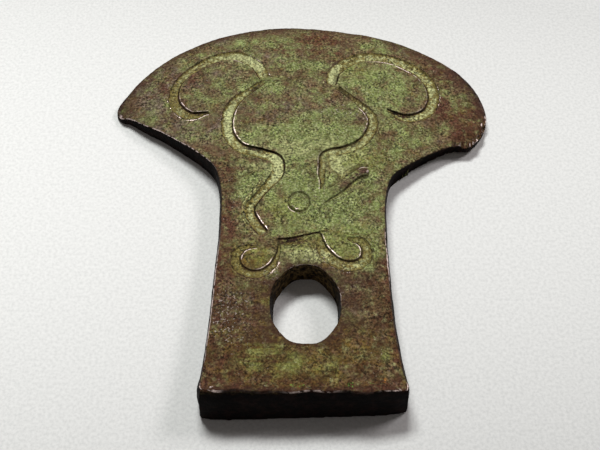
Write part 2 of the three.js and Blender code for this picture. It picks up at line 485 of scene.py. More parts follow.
# Each path runs in the middle of its line, with x, y and the line's width at each point.
CARVED_LINES = (
    CarvedLine("left horn curl", 0.6, Steep.RIGHT, (
        (-30.0, 29.8, 1.0), (-35.6, 29.0, 3.0), (-40.1, 33.3, 3.4), (-41.1, 38.6, 2.8), (-39.5, 44.2, 2.4),
        (-32.1, 51.6, 3.0), (-22.4, 55.0, 3.6), (-15.0, 50.9, 4.2), (-12.5, 45.6, 3.4),
    ), earth=0.9),
    CarvedLine("left horn foot", 0.6, Steep.LEFT, (
        (-12.4, 42.6, 1.8), (-17.0, 38.3, 2.2), (-20.6, 34.6, 3.0), (-23.0, 28.4, 3.5), (-22.6, 21.0, 3.5),
        (-19.0, 15.4, 3.6), (-12.0, 13.0, 3.6), (-7.3, 10.6, 3.8), (-6.8, 5.0, 3.6), (-10.4, -0.8, 2.4),
        (-14.9, -8.4, 2.8), (-13.4, -13.0, 3.0), (-11.2, -16.2, 2.8),
    )),
    CarvedLine("right horn curl", 0.6, Steep.LEFT, (
        (28.2, 31.4, 1.0), (33.6, 28.6, 3.0), (40.4, 31.0, 3.4), (43.2, 38.0, 3.4), (40.6, 46.8, 3.5),
        (30.0, 54.0, 3.6), (19.0, 54.0, 3.8), (11.6, 48.2, 4.2), (10.4, 43.0, 3.2),
    )),
    CarvedLine("right horn foot", 0.6, Steep.RIGHT, (
        (12.0, 40.6, 1.4), (18.4, 34.0, 1.8), (22.8, 27.2, 2.8), (20.0, 18.8, 3.0), (13.6, 14.6, 2.9),
        (9.0, 13.6, 2.6), (7.0, 12.0, 2.4), (6.5, 8.1, 2.0), (6.2, 4.8, 1.8), (6.4, 1.7, 1.3),
        (6.0, -0.8, 0.7),
    ), earth=0.9, darkness=0.85),
    CarvedLine("cheek hollow", 0.4, Steep.RIGHT, (
        (9.8, 12.4, 4.0), (11.7, 8.6, 6.4), (13.6, 5.2, 4.6),
    ), earth=0.6, darkness=0.15),
    CarvedLine("ear top", 0.45, Steep.RIGHT, (
        (8.4, -0.7, 0.6), (10.9, 1.8, 1.2), (13.9, 4.8, 1.6), (16.5, 6.7, 1.4), (18.4, 7.9, 1.0),
        (20.5, 7.9, 0.7),
    ), earth=0.4, darkness=0.65),
    CarvedLine("ear below", 0.5, Steep.RIGHT, (
        (20.1, 4.3, 0.8), (17.8, 3.0, 1.2), (16.0, 1.3, 1.3), (13.5, -1.3, 1.2), (11.0, -3.3, 1.1),
        (8.9, -4.7, 0.9), (6.6, -6.6, 0.5),
    ), earth=0.4, darkness=0.75),
    CarvedLine("mouth", 0.5, Steep.LEFT, (
        (-6.4, -19.5, 1.6), (-3.6, -19.6, 2.2), (-0.6, -18.8, 1.9), (2.3, -17.8, 1.5), (4.3, -17.1, 1.1),
        (6.9, -16.2, 0.5),
    ), earth=0.2),
    CarvedLine("left whisker", 0.45, Steep.LEFT, (
        (-12.9, -22.0, 0.7), (-14.6, -22.0, 1.2), (-16.6, -22.6, 1.9), (-18.1, -24.4, 2.4),
        (-18.4, -26.6, 2.5), (-17.3, -29.0, 2.5), (-15.1, -30.5, 2.5), (-12.5, -30.8, 2.4),
        (-10.1, -29.8, 2.2), (-8.2, -27.8, 1.8), (-7.2, -25.5, 1.4), (-6.6, -23.2, 1.1),
        (-6.5, -20.6, 0.6),
    ), earth=0.9, darkness=0.85),
    CarvedLine("right whisker", 0.45, Steep.LEFT, (
        (5.6, -16.8, 0.8), (6.0, -19.7, 2.0), (6.5, -22.3, 3.0), (8.1, -24.7, 3.4), (10.2, -26.7, 3.4),
        (13.0, -27.9, 3.4), (16.0, -27.6, 3.3), (18.2, -25.9, 3.1), (18.9, -23.5, 2.9),
        (18.3, -21.2, 2.6), (16.7, -19.7, 2.2), (15.0, -19.4, 1.6), (13.9, -18.8, 1.0),
    ), earth=0.8, darkness=0.9),
)

MARKS = (
    Mark((-26.6, 43.8), (-25.8, 36.9), 0.22, 0.12),
    Mark((-15.2, 5.2), (-14.3, 3.9), 0.25, 0.14),
    Mark((-14.3, 3.9), (-13.0, 3.7), 0.25, 0.12),
    Mark((5.8, -7.3), (5.7, -12.3), 0.22, 0.10),
    Mark((7.5, -9.1), (7.5, -12.0), 0.30, 0.14),
    Mark((10.0, -5.0), (9.9, -7.2), 0.30, 0.14),
    Mark((13.3, -6.1), (13.1, -10.5), 0.20, 0.10),
    Mark((39.3, 24.1), (40.8, 22.2), 0.2, 0.1),
    Mark((6.0, 14.2), (4.0, 0.3), 0.22, 0.1),
    Mark((-0.5, -10.0), (5.7, -7.6), 0.25, 0.12),
    Mark((-19.3, 23.7), (-19.3, 23.7), 0.45, 0.3),
    Mark((-12.7, 13.5), (-11.4, 13.4), 0.4, 0.25),
    Mark((-6.2, -20.1), (-4.6, -20.2), 0.45, 0.2),
    Mark((-4.0, -19.9), (-2.2, -19.8), 0.4, 0.16),
)


@dataclass(frozen=True)
class Carving:
    """The carved animal mask: its lines, its eye, its raised ear and the small marks around it."""

    lines: Sequence[CarvedLine] = CARVED_LINES
    eye: Eye = Eye()
    marks: Sequence[Mark] = MARKS
    reach: float = 4.2
    ear_root: tuple[float, float] = (9.0, -2.4)
    ear_tip: tuple[float, float] = (19.6, 6.0)
    ear_half_width: float = 1.6
    ear_rise: float = 0.6
    draw: float = 0.7
    draw_spread: float = 0.36
    burr: float = 0.05
    burr_spread: float = 0.22
    burr_aside: float = 0.18
    burr_depth: float = 0.5
    full_mark: float = 0.14
    fine_margin: float = 0.9

    def zone(self, points: Array) -> Array:
        """Say which points of the face are near the carving, where the mesh has to stay fine.

        Args:
            points: Places on the face, one row each.

        Returns:
            One truth value for each point.
        """
        inside = np.abs(self.eye.past_ring(points)) < self.eye.reach + 0.2
        for line in self.lines:
            near, past_arris, width, past_end, _ = line.measure(points, self.reach)
            close = (past_arris < self.fine_margin) & (past_arris > -width - 0.5) & (past_end < 1.0)
            inside[near[close]] = True
        for mark in self.marks:
            inside |= mark.depth_at(points) > 0.01
        return inside

    def draw_together(self, points: Array, face: Array) -> Array:
        """Draw the mesh together along each steep wall, so that the wall is clean.

        Args:
            points: All vertices of the casting.
            face: How much each belongs to the carved face, from 0 to 1.

        Returns:
            The vertices moved sideways.
        """
        moved = points.copy()
        for line in self.lines:
            near, past_arris, width, past_end, towards = line.measure(moved, self.reach)
            for wall_place in (0.0, -line.wall):
                gap = past_arris - wall_place
                pull = 0.5 * self.draw * bump(gap, self.draw_spread) * (past_end < 0.3)
                shift = -(gap * pull * face[near])[:, None] * towards
                moved[near, :2] += shift
        return moved

    def ear_shape(self, points: Array) -> Array:
        """Read how much of a point belongs to the raised ear, most at its worn tip.

        Args:
            points: Places on the face, one row each.

        Returns:
            Shares from 0 to 1.
        """
        way = np.subtract(self.ear_tip, self.ear_root)
        offset = points[:, :2] - np.asarray(self.ear_root)
        share = np.clip(offset @ way / float(way @ way), 0.0, 1.0)
        aside = np.linalg.norm(offset - share[:, None] * way, axis=1)
        return (0.3 + 0.7 * share) * (1.0 - ease((aside / self.ear_half_width - 0.25) / 0.75))

    def relief(self, points: Array) -> Array:
        """Read how far the carving sinks the face, with the burr that it throws up beside it.

        Args:
            points: Places on the face, one row each.

        Returns:
            The depths, in millimetres; less than 0 where the face is raised.
        """
        depth = np.zeros(len(points))
        rise = np.zeros(len(points))
        for line in self.lines:
            near, past_arris, width, past_end, _ = line.measure(points, self.reach)
            fade = line.fade(width, past_end)
            depth[near] = np.maximum(depth[near], line.depth * fade * line.section(past_arris, width))
            burr = self.burr * fade * bump(past_arris - self.burr_aside, self.burr_spread)
            rise[near] = np.maximum(rise[near], burr * (line.depth > self.burr_depth))
        ring = self.eye.past_ring(points)
        depth = np.maximum(depth, self.eye.depth * (1.0 - ease(np.abs(ring) / (0.5 * self.eye.line))))
        marks = sum(mark.depth_at(points) for mark in self.marks)
        return depth + marks - np.where(depth > 0.02, 0.0, rise) - self.ear_rise * self.ear_shape(points)

    def layers(self, points: Array) -> dict[str, Array]:
        """Measure how points of the face lie to the carving, for its finish.

        Args:
            points: Places on the face, one row each.

        Returns:
            How much a line is there, how much earth it holds, how far the point is past the line's
            steep arris and how far inside its outer edge, in millimetres.
        """
        ring = self.eye.past_ring(points)
        gap = ring - 0.3 * self.eye.line
        inside = ring + 0.5 * self.eye.line
        presence = np.where(np.abs(ring) < self.eye.reach, self.eye.darkness, 0.0)
        earth = self.eye.earth * (presence > 0.0)
        closest = np.where(presence > 0.0, np.abs(gap), self.reach)
        for line in self.lines:
            near, past_arris, width, past_end, _ = line.measure(points, self.reach)
            beside = (past_arris < self.fine_margin) & (past_arris > -width - self.fine_margin)
            there = line.presence(width, past_end) * beside
            nearer = (np.abs(past_arris) < closest[near]) & (there > 0.0)
            rows = near[nearer]
            closest[rows] = np.abs(past_arris)[nearer]
            gap[rows] = past_arris[nearer]
            inside[rows] = (past_arris + width)[nearer]
            presence[rows] = there[nearer] * line.darkness
            earth[rows] = there[nearer] * line.earth
        mark = np.minimum(sum(mark.depth_at(points) for mark in self.marks) / self.full_mark, 1.0)
        return {"line": presence, "earth": earth, "gap": gap, "inside": inside, "mark": mark}


class Tint(Enum):
    """The kinds of patch that lie over the bronze, each with its own vertex attribute. The gleam patches
    place painted highlights, and the shadow-and-dirt patches paint shadow with dark dirt beside carved
    walls.
    """

    GREEN = "green"
    PALE = "pale"
    RED = "red"
    VIOLET = "violet"
    UMBER = "umber"
    OCHRE = "ochre"
    BRIGHT = "bright_green"
    ORANGE = "orange"
    GLEAM = "gleam"
    GRIT = "grit"
    SHADOW_AND_DIRT = "shadow_and_dirt"


@dataclass(frozen=True)
class Patch:
    """A soft oval patch of a tint on the face."""

    x: float
    y: float
    half_x: float
    half_y: float
    weight: float
    core: float = 0.45
    flank: float = 0.9

    def at(self, points: Array) -> Array:
        """Read how strong the patch is at places on the face."""
        across = (points[:, 0] - self.x) / self.half_x
        along = (points[:, 1] - self.y) / self.half_y
        return self.weight * (1.0 - ease((np.hypot(across, along) - self.core) / self.flank))


# Each row gives the x and y of a patch, half its width, half its length and its weight.
PATCHES: dict[Tint, Sequence[Sequence[float]]] = {
    Tint.GREEN: (
        (6.0, 20.5, 16.0, 9.0, 0.9), (-15.5, 19.0, 5.0, 8.0, 0.5), (2.0, 51.5, 8.0, 6.5, 0.45),
        (27.8, 42.4, 9.9, 8.6, 0.7), (35.0, 20.6, 7.0, 5.0, 0.55), (-6.1, 63.4, 8.0, 3.6, 0.45),
        (3.5, -5.3, 15.0, 11.5, 1.0), (12.0, -16.0, 8.0, 9.0, 0.85), (17.5, 11.0, 9.0, 6.0, 0.9),
        (20.0, 3.0, 7.0, 4.0, 0.6), (27.0, 31.0, 6.0, 6.0, 0.6), (18.0, 45.5, 6.0, 7.0, 0.65),
        (-12.0, 41.0, 9.0, 5.0, 0.8), (-18.0, 12.0, 5.0, 8.0, 0.35), (-9.0, 5.0, 5.0, 5.0, 0.7),
        (-16.0, 60.0, 9.0, 3.0, 0.5), (45.5, 42.0, 4.0, 6.0, 0.25), (4.0, -15.0, 9.0, 5.0, 0.5),
        (-1.5, -25.0, 5.0, 3.0, 0.6), (-12.5, -22.5, 5.0, 3.0, 0.5), (19.0, -24.0, 4.5, 7.0, 0.85),
        (-17.4, -0.8, 5.0, 7.5, 0.8), (-10.0, -57.5, 9.0, 5.0, 1.0), (14.0, 28.0, 6.0, 6.0, 0.6),
        (30.0, 12.5, 6.0, 3.6, 0.4), (-4.0, 12.0, 6.0, 4.0, 0.6), (1.1, -58.9, 9.0, 4.0, 0.6),
        (22.7, -58.3, 1.8, 3.5, 0.7), (25.7, 60.0, 5.0, 3.0, 0.5), (51.7, 36.4, 3.4, 5.6, 0.45),
        (23.6, -10.7, 2.6, 9.1, 0.6), (-30.0, 38.0, 8.0, 7.0, 0.15),
    ),
    Tint.PALE: (
        (11.8, 8.4, 4.5, 4.0, 0.8), (-7.5, 7.0, 3.0, 6.0, 0.9), (-22.4, 26.0, 2.2, 9.0, 0.8),
        (-10.0, 16.8, 9.0, 3.2, 0.5), (11.2, 46.0, 2.6, 5.0, 0.6), (-14.8, 50.4, 3.4, 3.0, 0.5),
        (6.0, 15.0, 14.0, 5.0, 0.6), (1.0, -24.8, 8.0, 3.2, 0.9), (1.0, -26.4, 5.0, 1.6, 0.7),
        (17.0, 10.5, 5.0, 4.0, 0.5), (-5.0, 12.5, 5.0, 3.0, 0.5), (-20.0, 53.5, 7.0, 3.0, 0.5),
    ),
    Tint.RED: (
        (5.9, 61.8, 7.5, 6.2, 0.9), (54.0, 25.0, 8.0, 11.5, 1.0), (47.0, 49.5, 14.0, 9.5, 0.5),
        (-22.3, -21.4, 3.8, 20.0, 0.9), (45.0, 34.0, 4.5, 6.5, 0.9), (-24.0, 6.0, 4.0, 4.0, 0.7),
        (23.5, -10.0, 3.0, 5.0, 0.6), (-22.5, -54.0, 5.0, 16.0, 1.0), (26.0, -44.0, 2.6, 24.0, 1.0),
        (25.0, 11.0, 4.0, 3.0, 0.8), (12.5, 53.0, 5.0, 10.0, 0.3), (0.0, -66.8, 32.0, 2.4, 0.9),
        (-25.8, -52.0, 2.6, 18.0, 0.8), (-43.0, 43.0, 9.0, 7.0, 0.45), (-4.0, 57.5, 6.0, 4.0, 0.6),
        (18.4, 6.0, 2.8, 2.0, 0.9),
    ),
    Tint.VIOLET: (
        (-2.0, 32.0, 13.0, 5.5, 0.6), (-8.0, 54.0, 6.0, 4.0, 0.6), (-18.5, -46.0, 6.0, 10.0, 1.0),
        (-27.0, 41.0, 9.0, 6.0, 0.55), (-46.9, 36.5, 7.0, 7.0, 0.9), (13.2, 27.6, 3.4, 2.8, 0.7),
        (-26.9, 61.8, 2.7, 2.2, 1.0), (-46.4, 45.0, 12.0, 9.1, 0.85), (-44.0, 28.0, 12.0, 9.0, 0.7),
        (-33.0, 22.0, 10.0, 8.0, 0.6),
    ),
    Tint.UMBER: (
        (0.0, -62.0, 36.0, 15.0, 0.75), (-21.0, -42.0, 10.0, 24.0, 0.6), (21.0, -42.0, 9.0, 22.0, 0.75),
        (55.0, 21.0, 6.0, 6.0, 0.8), (-0.5, -20.7, 6.0, 1.4, 0.8), (18.8, 6.3, 2.2, 1.7, 0.9),
        (-22.0, 5.0, 6.0, 9.0, 0.45), (38.0, 24.0, 6.0, 5.0, 0.35), (46.0, 44.0, 6.0, 6.0, 0.4),
    ),
    Tint.OCHRE: (
        (0.0, -56.0, 26.0, 13.0, 0.95), (-10.0, -37.7, 2.6, 6.0, 0.8), (-41.0, 36.5, 2.6, 6.5, 0.8),
        (-33.5, 28.8, 4.5, 2.0, 0.8), (-14.0, -26.0, 7.5, 6.0, 0.9), (-6.0, -9.0, 7.0, 6.0, 0.5),
        (16.0, 11.0, 9.0, 6.0, 0.65), (18.0, 49.0, 6.0, 6.0, 0.4), (8.0, -22.0, 16.0, 7.0, 0.5),
        (-1.0, -19.5, 6.0, 1.6, 0.6),
    ),
    Tint.BRIGHT: (
        (-22.0, -22.8, 0.75, 0.75, 1.0), (13.4, -66.0, 2.4, 1.0, 1.0), (-1.0, -66.0, 2.6, 0.9, 0.9),
        (19.4, -65.2, 2.0, 0.8, 0.7), (-10.5, -65.4, 3.2, 0.8, 0.7),
    ),
    Tint.ORANGE: (
        (21.9, -64.2, 1.3, 1.4, 1.0), (-18.6, -64.2, 1.8, 1.4, 0.7), (-10.3, -42.0, 1.2, 3.5, 0.5),
    ),
    # The gleam patches place painted highlights on the rubbed arrises.
    Tint.GLEAM: (
        (-11.0, -12.8, 2.4, 4.6, 1.0), (-20.6, 24.6, 1.8, 7.0, 0.75), (-17.1, 15.6, 3.0, 1.6, 0.6),
        (-37.6, 34.6, 2.0, 4.6, 0.9), (-17.5, 55.0, 6.0, 3.2, 0.6), (-10.8, 48.5, 2.0, 3.4, 0.6),
        (8.8, -22.0, 3.4, 5.0, 0.9), (17.4, -23.0, 2.0, 3.4, 0.7), (-2.6, -9.0, 2.0, 1.8, 0.8),
        (-14.6, -24.4, 3.6, 2.6, 0.6), (-9.0, -28.6, 3.4, 3.0, 0.55), (20.4, 27.5, 3.0, 5.0, 0.6),
        (37.0, 38.0, 4.0, 8.0, 0.4), (25.6, -24.0, 1.6, 9.0, 0.7), (-24.8, -40.0, 1.6, 26.0, 0.45),
        (-24.4, -67.4, 3.4, 2.0, 1.0), (25.8, -67.0, 4.6, 2.0, 0.9), (3.0, -68.0, 7.0, 1.6, 0.4),
        (-42.0, 19.0, 24.0, 12.0, 1.0), (-56.0, 30.0, 5.0, 3.0, 0.45), (55.0, 19.0, 5.0, 4.0, 0.9),
        (59.0, 27.0, 2.0, 3.0, 0.9), (11.4, -36.0, 2.0, 5.0, 0.7), (1.3, -27.6, 10.0, 2.4, 0.35),
        (19.4, 6.4, 1.6, 1.4, 0.5), (-16.0, 56.5, 9.0, 3.0, 0.9), (-43.0, 31.0, 3.0, 6.0, 0.9),
        (36.0, 52.0, 12.0, 6.0, 0.9), (45.5, 40.0, 2.0, 7.0, 0.9), (5.6, 2.0, 1.4, 10.0, 0.35),
    ),
    Tint.GRIT: (
        (-8.0, -31.0, 3.5, 4.0, 0.9), (1.0, -23.5, 4.5, 3.0, 0.8), (16.5, 28.2, 5.2, 4.2, 1.0),
        (10.0, 31.5, 5.5, 3.4, 0.6), (-20.0, -45.0, 6.5, 10.0, 1.0), (-45.0, 38.0, 14.0, 12.0, 0.45),
        (-20.0, -3.0, 6.0, 12.0, 0.45), (12.6, -34.0, 3.2, 8.0, 0.9), (2.0, -26.2, 9.0, 2.6, 0.7),
        (-12.0, 40.0, 7.0, 4.0, 0.4),
    ),
    # These patches paint shadow, with dark dirt, on the floor beside the steep walls of some carved lines.
    Tint.SHADOW_AND_DIRT: (
        (-3.0, -19.7, 4.6, 2.0, 1.0), (-15.2, 14.6, 4.6, 1.6, 0.9), (32.5, 30.0, 5.0, 2.4, 1.0),
        (-31.5, 29.6, 3.6, 1.6, 0.8), (13.0, 16.6, 8.0, 2.6, 0.7), (19.0, 5.0, 4.0, 3.0, 0.7),
        (12.6, 44.0, 3.0, 5.0, 0.5), (14.0, 37.0, 3.4, 4.0, 0.7), (-15.4, 40.8, 3.4, 2.6, 0.8),
    ),
}


@dataclass(frozen=True)
class Dent:
    """A place at the rim where metal has broken or been rubbed away."""

    x: float
    y: float
    radius: float
    depth: float

    def depth_at(self, points: Array) -> Array:
        """Read how far the face is lowered there."""
        return self.depth * bump(np.hypot(points[:, 0] - self.x, points[:, 1] - self.y), self.radius)


@dataclass(frozen=True)
class Rim:
    """A dark band along a rim of the casting."""

    strength: float
    spread: float

    def at(self, distance: Array) -> Array:
        """Read how dark the band is at distances from the rim."""
        return self.strength * bump(distance, self.spread)


@dataclass
class AxeHead:
    """The one casting: blade, horns, tang, butt, hole and carving."""

    thickness: Thickness = field(default_factory=Thickness)
    outline: Outline = field(default_factory=Outline)
    hole: HaftingHole = field(default_factory=HaftingHole)
    carving: Carving = field(default_factory=Carving)
    dents: Sequence[Dent] = (
        Dent(59.2, 25.6, 1.1, 1.4),
        Dent(57.0, 21.4, 1.3, 0.9),
        Dent(52.0, 17.6, 1.2, 0.7),
        Dent(46.0, 15.6, 1.0, 0.4),
        Dent(58.7, 24.6, 0.6, 1.2),
        Dent(54.1, 18.2, 0.6, 1.0),
        Dent(51.0, 17.2, 0.5, 0.9),
        Dent(48.5, 17.3, 0.5, 0.7),
        Dent(57.2, 22.8, 0.5, 0.8),
        Dent(-59.2, 31.0, 1.0, 0.5),
        Dent(-25.0, -67.0, 1.2, 0.4),
        Dent(26.9, -67.2, 1.0, 0.4),
        Dent(-6.3, -31.2, 0.9, 0.5),
        Dent(-1.4, -28.0, 0.7, 0.4),
        Dent(3.4, -27.5, 0.6, 0.35),
        Dent(8.8, -30.2, 0.9, 0.5),
        Dent(11.8, -35.5, 0.8, 0.4),
        Dent(-8.9, -36.5, 0.9, 0.4),
        Dent(10.6, -47.6, 0.7, 0.35),
    )
    rows: int = 170
    columns: int = 48
    wall_rings: int = 14
    fine_voxel: float = 0.23
    rough_voxel: float = 0.5
    most_triangles: int = 190_000
    skin: Sequence[tuple[str, float, float]] = (("hammering", 6.0, 0.32), ("casting skin", 1.5, 0.12))
    least_thickness: float = 0.4
    butt_band: float = -63.5
    blade_start: float = 28.0
    butt_rim_y: float = -67.8
    edge_rim: Rim = Rim(strength=0.85, spread=3.6)
    butt_rim: Rim = Rim(strength=0.7, spread=1.3)
    hole_rim: Rim = Rim(strength=0.8, spread=0.9)
    hole_rim_aside: float = 0.2
    # The arris band along the cutting edge carries painted shade, and painted highlights where gleam patches
    # lie.
    edge_arris: Rim = Rim(strength=1.0, spread=0.45)
    lined: float = 0.1

    def build(self) -> bpy.types.Object:
        """Model the casting and leave the masks of its patina, painted shade and painted highlights in its
        mesh.
        """
        casting = self._raise_plate()
        self._pierce(casting)
        self._fuse(casting)
        self._thin_plain_areas(casting)
        self._carve(casting)
        self._roughen(casting)
        self._paint(casting)
        select_only(casting)
        bpy.ops.object.shade_smooth()
        casting.name = casting.data.name = "axe_head_casting"
        return casting

    def _raise_plate(self) -> bpy.types.Object:
        """Pull a grid down into a closed slab and bend it to the outline and the thickness."""
        bpy.ops.object.select_all(action="DESELECT")
        bpy.ops.mesh.primitive_grid_add(x_subdivisions=self.columns, y_subdivisions=self.rows, size=1.0)
        plate = bpy.context.active_object
        bpy.ops.object.mode_set(mode="EDIT")
        for _ in range(self.wall_rings):
            bpy.ops.mesh.extrude_region_move(TRANSFORM_OT_translate={"value": (0.0, 0.0, -1.0)})
        bpy.ops.mesh.select_all(action="SELECT")
        bpy.ops.mesh.normals_make_consistent(inside=False)
        bpy.ops.object.mode_set(mode="OBJECT")
        write_points(plate, self._bend(read_points(plate) * MM))
        return plate

    def _bend(self, slab: Array) -> Array:
        """Bend the plain slab to the casting.

        Args:
            slab: Vertices of a slab one unit wide and long, with one unit of height for each ring.

        Returns:
            The casting's vertices, in millimetres.
        """
        along = slab[:, 1] + 0.5
        across = 0.5 - 0.5 * np.cos(math.pi * (slab[:, 0] + 0.5))
        height_share = 0.5 + 0.5 * np.cos(math.pi * -slab[:, 2] / self.wall_rings)
        side_share = np.interp(height_share, self.outline.wall_heights, self.outline.side_swell_shares)
        butt_share = np.interp(height_share, self.outline.wall_heights, self.outline.butt_swell_shares)
        left, left_out = self.outline.side(self.outline.left, along, -1.0)
        right, right_out = self.outline.side(self.outline.right, along, 1.0)
        spot = left[:, :2] + (right - left)[:, :2] * across[:, None]
        push = np.zeros_like(spot)
        for side, out, x in ((left, left_out, -0.5), (right, right_out, 0.5)):
            on_wall = np.isclose(slab[:, 0], x)
            push[on_wall] = (out * (side[:, 2] * side_share)[:, None])[on_wall]
        at_butt, at_edge = np.isclose(along, 0.0), np.isclose(along, 1.0)
        waves = sum(np.sin(2.0 * math.pi * spot[:, 0] / length) for length in self.outline.butt_wave_lengths)
        wavy = self.outline.butt_wave * waves * height_share
        bow = self.outline.butt_bow * (1.0 - (2.0 * across - 1.0) ** 8)
        swell = self.outline.butt_swell - self.outline.butt_swell_to_right * spot[:, 0]
        push[at_butt, 1] = (wavy - bow - swell * butt_share)[at_butt]
        push[at_edge, 1] = self.outline.edge_swell * side_share[at_edge]
        back = self.thickness.back_height(spot[:, 0])
        height = (self.thickness.top_height(spot[:, 0], spot[:, 1]) - back) * height_share
        return np.column_stack([spot + push, back + height])

    def _pierce(self, casting: bpy.types.Object) -> None:
        """Cut the hafting hole with a rod bent to a rough octagon."""
        bpy.ops.object.select_all(action="DESELECT")
        bpy.ops.mesh.primitive_cylinder_add(vertices=self.hole.sides, radius=1.0, depth=1.0)
        cutter = bpy.context.active_object
        write_points(cutter, self.hole.bend(read_points(cutter) * MM))
        finish_with(casting, "BOOLEAN", operation="DIFFERENCE", solver="EXACT", object=cutter)
        bpy.data.objects.remove(cutter)

    def _fuse(self, casting: bpy.types.Object) -> None:
        """Make one even skin of the casting and round its arrises a little."""
        voxel = self.fine_voxel * MM
        finish_with(casting, "REMESH", mode="VOXEL", voxel_size=voxel, adaptivity=0.0)
        finish_with(casting, "SMOOTH", factor=0.5, iterations=3)
        points, normals = read_points(casting), read_normals(casting)
        top = self.thickness.top_height(points[:, 0], points[:, 1])
        back = self.thickness.back_height(points[:, 0])
        flat_top, flat_back = (ease((way - 0.85) / 0.12) for way in (normals[:, 2], -normals[:, 2]))
        points[:, 2] += (top - points[:, 2]) * flat_top + (back - points[:, 2]) * flat_back
        write_points(casting, points)

    def _face_share(self, casting: bpy.types.Object, points: Array) -> Array:
        """Find how much each vertex belongs to the carved face, from 0 to 1.

        Args:
            casting: The casting.
            points: Its vertices, in millimetres.

        Returns:
            One share for each vertex.
        """
        upwards = ease((read_normals(casting)[:, 2] - 0.35) / 0.4)
        back = self.thickness.back_height(points[:, 0])
        half_way = 0.5 * (self.thickness.top_height(points[:, 0], points[:, 1]) + back)
        return upwards * (points[:, 2] > half_way)

    def _thin_plain_areas(self, casting: bpy.types.Object) -> None:
        """Thin the mesh where there is neither carving nor an arris."""
        points, normals = read_points(casting), read_normals(casting)
        face = self._face_share(casting, points) > 0.5
        keep = face & (self.carving.zone(points) | (points[:, 1] < self.butt_band))
        keep |= (normals[:, 2] > 0.1) & (normals[:, 2] < 0.93) & (points[:, 2] > 1.0)
        bpy.ops.object.mode_set(mode="EDIT")
        bpy.ops.mesh.select_mode(type="VERT")
        bpy.ops.mesh.select_all(action="SELECT")
        bpy.ops.mesh.quads_convert_to_tris()
        bpy.ops.mesh.select_all(action="DESELECT")
        bpy.ops.object.mode_set(mode="OBJECT")
        casting.data.vertices.foreach_set("select", ~keep)
        corners = np.empty(len(casting.data.polygons) * 3, dtype=int)
        casting.data.polygons.foreach_get("vertices", corners)
        kept_faces = int(keep[corners.reshape(-1, 3)].all(axis=1).sum())
        plain_faces = len(casting.data.polygons) - kept_faces
        ratio = (self.most_triangles - kept_faces) / plain_faces
        LOG.info("fine mesh: %d triangles, of which %d stay", len(casting.data.polygons), kept_faces)
        if ratio < 1.0:
            bpy.ops.object.mode_set(mode="EDIT")
            bpy.ops.mesh.decimate(ratio=ratio)
            bpy.ops.object.mode_set(mode="OBJECT")

    def _carve(self, casting: bpy.types.Object) -> None:
        """Sink the carving and the dents into the face."""
        points = read_points(casting)
        face = self._face_share(casting, points)
        points = self.carving.draw_together(points, face)
        points[:, 2] -= self.carving.relief(points) * face
        near_rim = ease((read_normals(casting)[:, 2] + 0.2) / 0.4)
        floor = self.thickness.back_height(points[:, 0]) + self.least_thickness
        lowered = points[:, 2] - sum(dent.depth_at(points) for dent in self.dents) * near_rim
        points[:, 2] = np.where(points[:, 2] > floor, np.maximum(lowered, floor), points[:, 2])
        write_points(casting, points)

    def _roughen(self, casting: bpy.types.Object) -> None:
        """Give the skin the unevenness of casting and hammering, and lay the back on the floor."""
        for name, size, depth in self.skin:
            texture = bpy.data.textures.new(name, "CLOUDS")
            texture.noise_scale = size * MM
            texture.noise_depth = 2
            finish_with(casting, "DISPLACE", texture=texture, strength=depth * MM, mid_level=0.5)
        points = read_points(casting)
        points[:, 2] = np.maximum(points[:, 2], 0.0)
        write_points(casting, points)

    def _paint(self, casting: bpy.types.Object) -> None:
        """Write the masks of the patina, the painted shade and the painted highlights as vertex attributes.
        """
        points, normals = read_points(casting), read_normals(casting)
        face = self._face_share(casting, points)
        carved = self.carving.layers(points)
        for name in ("line", "earth", "mark"):
            carved[name] *= face
        top = self.thickness.top_height(points[:, 0], points[:, 1])
        near_top = ease((points[:, 2] - top + 0.7) / 0.4)
        to_edge = self.thickness.edge.distance(points[:, 0], points[:, 1])
        on_blade = points[:, 1] > self.blade_start
        past_hole = self.hole.past_rim(points)
        rims = (
            self.edge_rim.at(to_edge) * on_blade,
            self.butt_rim.at(points[:, 1] - self.butt_rim_y),
            self.hole_rim.at(past_hole - self.hole_rim_aside),
        )
        plain = carved["line"] < self.lined
        # The arris mask carries painted shade on the arrises and, where gleam patches lie, painted
        # highlights.
        arris = ease((0.97 - normals[:, 2]) / 0.12) * ease((normals[:, 2] - 0.25) / 0.3) * near_top * plain
        arris = np.maximum(arris, self.edge_arris.at(to_edge) * on_blade * near_top)
        # The wall mask paints shade on the steep walls of the casting and of the carving, less where they
        # face the light from behind.
        wall = 1.0 - ease((np.abs(normals[:, 2]) - np.where(plain, 0.45, 0.25)) / 0.4)
        lit_from_behind = ease((normals[:, 1] - 0.1) / 0.5) * plain
        layers = carved | {tint.value: self._tint_layer(tint, points, face) for tint in Tint} | {
            "wall": wall * (1.0 - 0.75 * lit_from_behind),
            "bore": (past_hole < 0.4) * (1.0 - face) * ease((points[:, 1] - self.hole.y) / 12.0),
            "arris": arris,
            "rim": np.maximum.reduce(rims) * near_top,
            "ear": self.carving.ear_shape(points) * face,
        }
        for name, values in layers.items():
            layer = casting.data.attributes.new(name, "FLOAT", "POINT")
            layer.data.foreach_set("value", values.astype(np.float32))

    def _tint_layer(self, tint: Tint, points: Array, face: Array) -> Array:
        """Lay all patches of one tint over each other.

        Args:
            tint: The tint.
            points: The vertices, in millimetres.
            face: How much each belongs to the carved face.

        Returns:
            How strong the tint is at each vertex, from 0 to 1.
        """
        bare = np.ones(len(points))
        for row in PATCHES[tint]:
            bare *= 1.0 - Patch(*row).at(points)
        return (1.0 - bare) * (0.5 + 0.5 * face)


